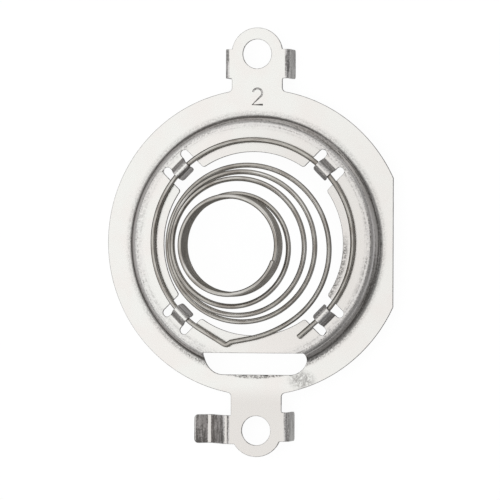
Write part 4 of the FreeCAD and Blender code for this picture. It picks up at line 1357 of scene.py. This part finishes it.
    def fold_finger(self, plate: Thing) -> None:
        """Folds the wavy contact finger: a small step, a long leg, a flat sole and a turned-up tip.

        Args:
            plate: The plate.
        """
        small, radius = self.finger_step_radius, self.bend_radius
        step, slope = self.finger_step_angle, self.finger_slope

        def drop(angle: float, bend: float) -> float:
            """The height that a bend and its return lose."""
            return 2 * bend * (1 - math.cos(math.radians(angle)))

        lost = self.finger_step * math.sin(math.radians(step)) + drop(step, small)
        leg = (self.ear_depth - lost - drop(slope, radius)) / math.sin(math.radians(slope))
        folds = ((-step, small, self.finger_step), (step, small, self.finger_ledge), (-slope, radius, leg),
                 (slope, radius, self.finger_sole), (self.finger_rise, radius, self.finger_tip))
        self.strip(plate, self.finger, 180.0, -1.0).fold(folds, self.finger_tip_radius)

    def wrap_start(self) -> tuple[float, float]:
        """How far out and how high a clip starts to bend over the wire."""
        rise = math.radians(self.clip_rise)
        return (self.ring_radius + self.wrap_radius * math.sin(rise),
                self.ring_height + self.wrap_radius * math.cos(rise))

    def clip_root(self) -> float:
        """Finds where a clip's first bend starts.

        Returns:
            How far it is from Z.
        """
        rise, (reach, level) = math.radians(self.clip_rise), self.wrap_start()
        height = level - (self.thickness / 2 + self.step_height)
        return reach + height / math.tan(rise) + self.bend_radius * math.tan(rise / 2)

    def fold_clip(self, plate: Thing, turn: float) -> None:
        """Folds one clip up from the step and over the wire ring.

        Args:
            plate: The plate.
            turn: The clip's angle about Z.
        """
        level = self.thickness / 2 + self.step_height
        strip = FoldedStrip(plate, self.clip_width, self.thickness, self.clip_root(), level, 180.0, turn)
        strip.bend(-self.clip_rise, self.bend_radius)
        reach, level = self.wrap_start()
        strip.run((Vector((reach, 0.0, level)) - strip.end()).length)
        wrap = self.clip_rise - 90.0 + self.clip_wrap
        strip.fold([(wrap, self.wrap_radius, self.clip_tip)], self.clip_tip_radius)

    def clean(self, plate: Thing) -> None:
        """Closes up slivers that the cuts left and turns every face outward.

        Args:
            plate: The plate after its cuts and folds.
        """
        enter(plate, Part.POINT)
        bpy.ops.mesh.select_all(action="SELECT")
        bpy.ops.mesh.dissolve_degenerate(threshold=SLIVER)
        bpy.ops.mesh.select_all(action="SELECT")
        bpy.ops.mesh.normals_make_consistent(inside=False)
        leave()

    def build(self) -> Thing:
        """Shapes the whole plate.

        Returns:
            The plate, in metres.
        """
        plate = self.drawn_disc()
        work_in(plate, self.plan_outline(), Cut.KEEP)
        work_in(plate, self.opening_outline(), Cut.REMOVE)
        work_in(plate, self.slot_outline(), Cut.REMOVE)
        for side in (1.0, -1.0):
            work_in(plate, self.hole_cutter(side), Cut.REMOVE)
        work_in(plate, self.mark_cutter(), Cut.REMOVE)
        self.fold_ear(plate, self.top_ear, 0.0, 1.0)
        self.fold_ear(plate, self.top_ear, 180.0, 1.0)
        self.fold_ear(plate, self.low_ear, 0.0, -1.0)
        self.fold_finger(plate)
        for angle in self.clip_angles:
            self.fold_clip(plate, angle)
        self.clean(plate)
        self.smoothing.round_edges(plate, Vector((*self.mark_place, self.thickness)))
        self.smoothing.smooth_bends(plate)
        shrink_to_metres(plate)
        plate.name = self.name
        return plate

    def dress(self, plate: Thing) -> None:
        """Gives the plate its finish and says what it stands for.

        Args:
            plate: The finished plate.
        """
        plate.data.materials.clear()
        plate.data.materials.append(self.finish.make("stamped_sheet"))
        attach(plate, "root")
        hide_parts("retainer_plate")


# Spring


@dataclass
class CoilSpring:
    """The wire: its free end, ring, lead, kink and conical coil."""

    name: str = "spring_wire"
    wire_radius: float = 0.265
    ring_radius: float = 10.65
    ring_height: float = 2.185
    free_end: float = 2.78
    free_end_angle: float = -49.0
    lead_angle: float = 239.0
    kink_radius: float = 0.5
    kink_steps: int = 14
    kink_dip: float = 0.3
    kink_reach: float = 0.95
    coil_x: float = -0.4
    coil_y: float = -0.33
    coil_start: float = 270.0
    coil_radius: float = 9.72
    closed_radius: float = 5.02
    mean_radius: float = 6.6
    entry_turns: float = 0.086
    entry_taper: float = 0.1404
    entry_rate: float = 11.5
    tapers: tuple[float, ...] = (0.2915, 0.376, 0.4383, 0.5157, 0.5883, 0.6574, 0.8645, 1.0)
    open_turns: float = 3.75
    closed_turns: float = 4.45
    closed_gap: float = 0.02
    first_pitch: float = 2.85
    first_half: float = 0.55
    open_pitch: float = 1.75
    point_step: float = 0.06
    first_step: float = 0.0005
    sides: int = 16
    cuts: tuple[int, ...] = (49, 49)
    end_rounding: float = 0.09
    end_segments: int = 3
    smooth_angle: float = 50.0
    finish: WireFinish = field(default_factory=WireFinish)

    def radius_table(self) -> Table:
        """Lists the coil's radii.

        Returns:
            The radius at its start, after its entry and after each eighth of its open turns.
        """
        narrowing, count = self.closed_radius - self.coil_radius, len(self.tapers)
        shares = [(0.0, 0.0), (self.entry_turns, self.entry_taper)]
        shares += [(self.open_turns * n / count, taper) for n, taper in enumerate(self.tapers, start=1)]
        return [(turns, self.coil_radius + narrowing * share) for turns, share in shares]

    def height_table(self) -> Table:
        """Lists the coil's heights.

        Returns:
            The height after each half turn, up to its closed turns.
        """
        table = [(0.0, self.ring_height), (0.5, self.ring_height + self.first_half * self.first_pitch)]
        table += [(0.5 * n, self.ring_height + self.first_pitch + self.open_pitch * (0.5 * n - 1))
                  for n in range(2, 7)]
        ease = (self.open_pitch + self.closed_pitch()) / 2
        table.append((self.open_turns, table[-1][1] + ease * (self.open_turns - table[-1][0])))
        return table

    def closed_pitch(self) -> float:
        """The rise of one closed turn."""
        return 2 * self.wire_radius + self.closed_gap

    @staticmethod
    def read(table: Table, turns: float, first: float = 0.0, last: float = 0.0) -> float:
        """Reads a table as a smooth curve through its points.

        Args:
            table: Pairs of turns and value.
            turns: Where it is read.
            first: The slope at the start.
            last: The slope at the end.

        Returns:
            The value there.
        """
        inner = [(late[1] - early[1]) / (late[0] - early[0]) for early, late in zip(table, table[2:])]
        rates = [first, *inner, last]
        n = sum(turns > knot[0] for knot in table[1:-1])
        (start, low), (stop, high) = table[n], table[n + 1]
        span = stop - start
        part = (turns - start) / span
        return (low * (1 + 2 * part) * (1 - part) ** 2 + high * part ** 2 * (3 - 2 * part)
                + span * (rates[n] * part * (1 - part) ** 2 - rates[n + 1] * part ** 2 * (1 - part)))

    def coil_point(self, turns: float) -> Vector:
        """A point of the coil's centre line.

        Args:
            turns: Turns after the coil's start.

        Returns:
            The point.
        """
        angle = math.radians(self.coil_start) + 2 * math.pi * turns
        heights, pitch = self.height_table(), self.closed_pitch()
        if turns < self.open_turns:
            radius = self.read(self.radius_table(), turns, first=-self.entry_rate)
            height = self.read(heights, turns, last=pitch)
        else:
            radius, height = self.closed_radius, heights[-1][1] + pitch * (turns - self.open_turns)
        return Vector((self.coil_x + radius * math.cos(angle), self.coil_y + radius * math.sin(angle), height))

    def ring_point(self, degrees: float) -> tuple[Vector, Vector]:
        """A point of the ring, and the way that the wire runs there.

        Args:
            degrees: The point's angle about Z.

        Returns:
            The point and the way.
        """
        turn = math.radians(degrees)
        point = Vector((self.ring_radius * math.cos(turn), self.ring_radius * math.sin(turn), self.ring_height))
        return point, Vector((-math.sin(turn), math.cos(turn), 0.0))

    def straight(self, begin: Vector, stop: Vector) -> list[Vector]:
        """Points along a straight run, without its last one."""
        count = max(2, round((stop - begin).length / self.point_step))
        return [begin.lerp(stop, n / count) for n in range(count)]

    def lead(self) -> list[Vector]:
        """Leads the wire from the ring's end through the kink to the coil's start.

        Returns:
            The points, each lowered near the kink.
        """
        end, end_way = self.ring_point(self.lead_angle)
        coil = self.coil_point(0.0)
        coil_way = self.coil_point(self.first_step) - coil
        coil_way.z = 0.0
        coil_way.normalize()
        kink = end + end_way * ((coil - end).xy.cross(coil_way.xy) / end_way.xy.cross(coil_way.xy))
        kink_turn = end_way.angle(coil_way)
        trim = self.kink_radius * math.tan(kink_turn / 2)
        kink_in, kink_out = kink - end_way * trim, kink + coil_way * trim
        centre = kink_in + Vector((-end_way.y, end_way.x, 0.0)) * self.kink_radius
        dip = (kink_in - kink).normalized() * -self.kink_dip
        turns = [Matrix.Rotation(kink_turn * n / self.kink_steps, 3, "Z") for n in range(self.kink_steps)]
        points = self.straight(end, kink_in) + [centre + turn @ (kink_in - centre) for turn in turns]
        points += self.straight(kink_out, coil)

        def sagged(point: Vector) -> Vector:
            """The point, moved out past the kink's own corner."""
            near = max(0.0, 1.0 - (point - kink).length / self.kink_reach)
            return point + dip * near ** 2 * (3.0 - 2.0 * near)

        return [sagged(point) for point in points]

    def route(self) -> list[Vector]:
        """The wire's whole centre line, as closely set points.

        Returns:
            The points, from the free end to the coil's top.
        """
        start, start_way = self.ring_point(self.free_end_angle)
        points = self.straight(start - start_way * self.free_end, start)
        sweep = self.lead_angle - self.free_end_angle
        count = round(math.radians(sweep) * self.ring_radius / self.point_step)
        points += [self.ring_point(self.free_end_angle + sweep * n / count)[0] for n in range(count)]
        points += self.lead()
        turns = self.open_turns + self.closed_turns
        count = round(turns * 2 * math.pi * self.mean_radius / self.point_step)
        points += [self.coil_point(turns * n / count) for n in range(count + 1)]
        return points

    def build(self) -> Thing:
        """Draws the wire straight and bends it along its route.

        Returns:
            The wire, in metres.
        """
        points = self.route()
        length = sum((second - first).length for first, second in zip(points, points[1:]))
        rail = add_rail("rail", points)
        bpy.ops.mesh.primitive_cylinder_add(
            vertices=self.sides, radius=self.wire_radius, depth=length, location=(length / 2, 0.0, 0.0),
            rotation=(0.0, math.radians(90.0), 0.0), end_fill_type="NGON")
        wire = added(self.name)
        apply_place(wire)

        def runs_along(edge: bmesh.types.BMEdge) -> bool:
            """Whether an edge runs along the wire."""
            low, high = ends(edge)
            return abs(low.x - high.x) > SAME_PLACE

        def is_end(edge: bmesh.types.BMEdge) -> bool:
            """Whether an edge belongs to one of the wire's two ends."""
            return not runs_along(edge) and not ONE_POINT < ends(edge)[0].x < length - ONE_POINT

        enter(wire, Part.EDGE)
        for cuts in self.cuts:
            pick(wire, Part.EDGE, runs_along)
            bpy.ops.mesh.subdivide(number_cuts=cuts)
        pick(wire, Part.EDGE, is_end)
        bpy.ops.mesh.bevel(offset=self.end_rounding, segments=self.end_segments, affect="EDGES")
        leave()
        modify(wire, "CURVE", object=rail, deform_axis="POS_X")
        use_up(rail)
        only(wire)
        bpy.ops.object.shade_smooth_by_angle(angle=math.radians(self.smooth_angle))
        shrink_to_metres(wire)
        LOG.info("wire length %.1f mm", length)
        return wire

    def dress(self, wire: Thing) -> None:
        """Gives the wire its finish and says what it stands for.

        Args:
            wire: The finished wire.
        """
        wire.data.materials.clear()
        wire.data.materials.append(self.finish.make("drawn_wire"))
        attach(wire, "root")
        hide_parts("coil_spring")


# Stage, light and camera


@dataclass
class Studio:
    """A plain white floor under a soft overhead dome, darker towards the horizon."""

    floor_size: float = 3.0
    floor_level: float = -2.85 * MM
    dome_light: float = 1.03
    side_light: float = 0.27
    dome_low: float = 0.02
    dome_high: float = 0.5
    lean_x: float = 0.85
    lean_y: float = -0.6
    lamp_size: float = 0.6
    lamp_height: float = 0.6
    lamp_power: float = 2.4
    finish: FloorFinish = field(default_factory=FloorFinish)

    def hang_lamp(self) -> None:
        """Hangs a soft round lamp overhead. Metal mirrors the dome in its place."""
        bpy.ops.object.light_add(type="AREA", location=(0.0, 0.0, self.lamp_height))
        lamp = added("soft_lamp")
        lamp.data.shape = "DISK"
        lamp.data.size = self.lamp_size
        lamp.data.energy = self.lamp_power
        lamp.visible_glossy = False

    def lay_floor(self) -> None:
        """Lays the floor that things stand on."""
        bpy.ops.mesh.primitive_plane_add(size=self.floor_size, location=(0.0, 0.0, self.floor_level))
        floor = added("floor")
        apply_place(floor)
        floor.data.materials.append(self.finish.make("white_floor"))

    def hang_dome(self) -> None:
        """Lights the scene from above, and shows plain white behind it."""
        world = bpy.data.worlds.new("studio")
        bpy.context.scene.world = world
        world.use_nodes = True
        n = Nodes(world.node_tree)
        x, y, z = n.parts(n.value("ShaderNodeTexCoord", "Generated"))
        leaning = z - (x * self.lean_x + y * self.lean_y).peak(0.0)
        dome = leaning.span(self.dome_low, self.dome_high, self.side_light, self.dome_light)
        strength = n.mix(n.value("ShaderNodeLightPath", "Is Camera Ray"), dome, 1.0, Mix.NUMBER)
        sky = n.value("ShaderNodeBackground", 0, {"Color": WHITE, "Strength": strength})
        n.add("ShaderNodeOutputWorld", {"Surface": sky})


@dataclass
class PhotoCamera:
    """The camera at the photograph's angle: above the plate, a little to its right."""

    lean: float = 13.0
    roll: float = 0.2
    distance: float = 500.0
    lens: float = 345.0
    sensor: float = 36.0
    clip_start: float = 0.01
    clip_end: float = 20.0
    aim_side: float = -0.673
    aim_up: float = -0.810
    aim_level: float = 0.3

    def place(self) -> None:
        """Adds the camera and makes it the scene's own."""
        lean = math.radians(self.lean)
        back = Vector((math.sin(lean), 0.0, math.cos(lean)))
        right = Vector((math.cos(lean), 0.0, -math.sin(lean)))
        up = Vector((0.0, 1.0, 0.0))
        target = Vector((0.0, 0.0, self.aim_level)) + right * self.aim_side + up * self.aim_up
        bpy.ops.object.camera_add(location=(target + back * self.distance) * MM)
        camera = added("photo_camera")
        axes = Matrix((right, up, back)).transposed()
        roll = Matrix.Rotation(math.radians(self.roll), 3, back)
        camera.rotation_euler = (roll @ axes).to_euler()
        camera.data.lens = self.lens
        camera.data.sensor_width = self.sensor
        camera.data.clip_start = self.clip_start
        camera.data.clip_end = self.clip_end
        bpy.context.scene.camera = camera


def main() -> None:
    """Builds the stage, the plate and the spring, and reports each."""
    logging.basicConfig(level=logging.INFO, format="%(name)s: %(message)s")
    bpy.context.scene.view_settings.view_transform = "Standard"
    studio = Studio()
    studio.lay_floor()
    studio.hang_dome()
    studio.hang_lamp()
    PhotoCamera().place()
    LOG.info("stage, dome and camera are in place")
    for maker in (RetainerPlate(), CoilSpring()):
        piece = maker.build()
        maker.dress(piece)
        LOG.info("%s: %d faces", piece.name, len(piece.data.polygons))


if __name__ == "__main__":
    main()
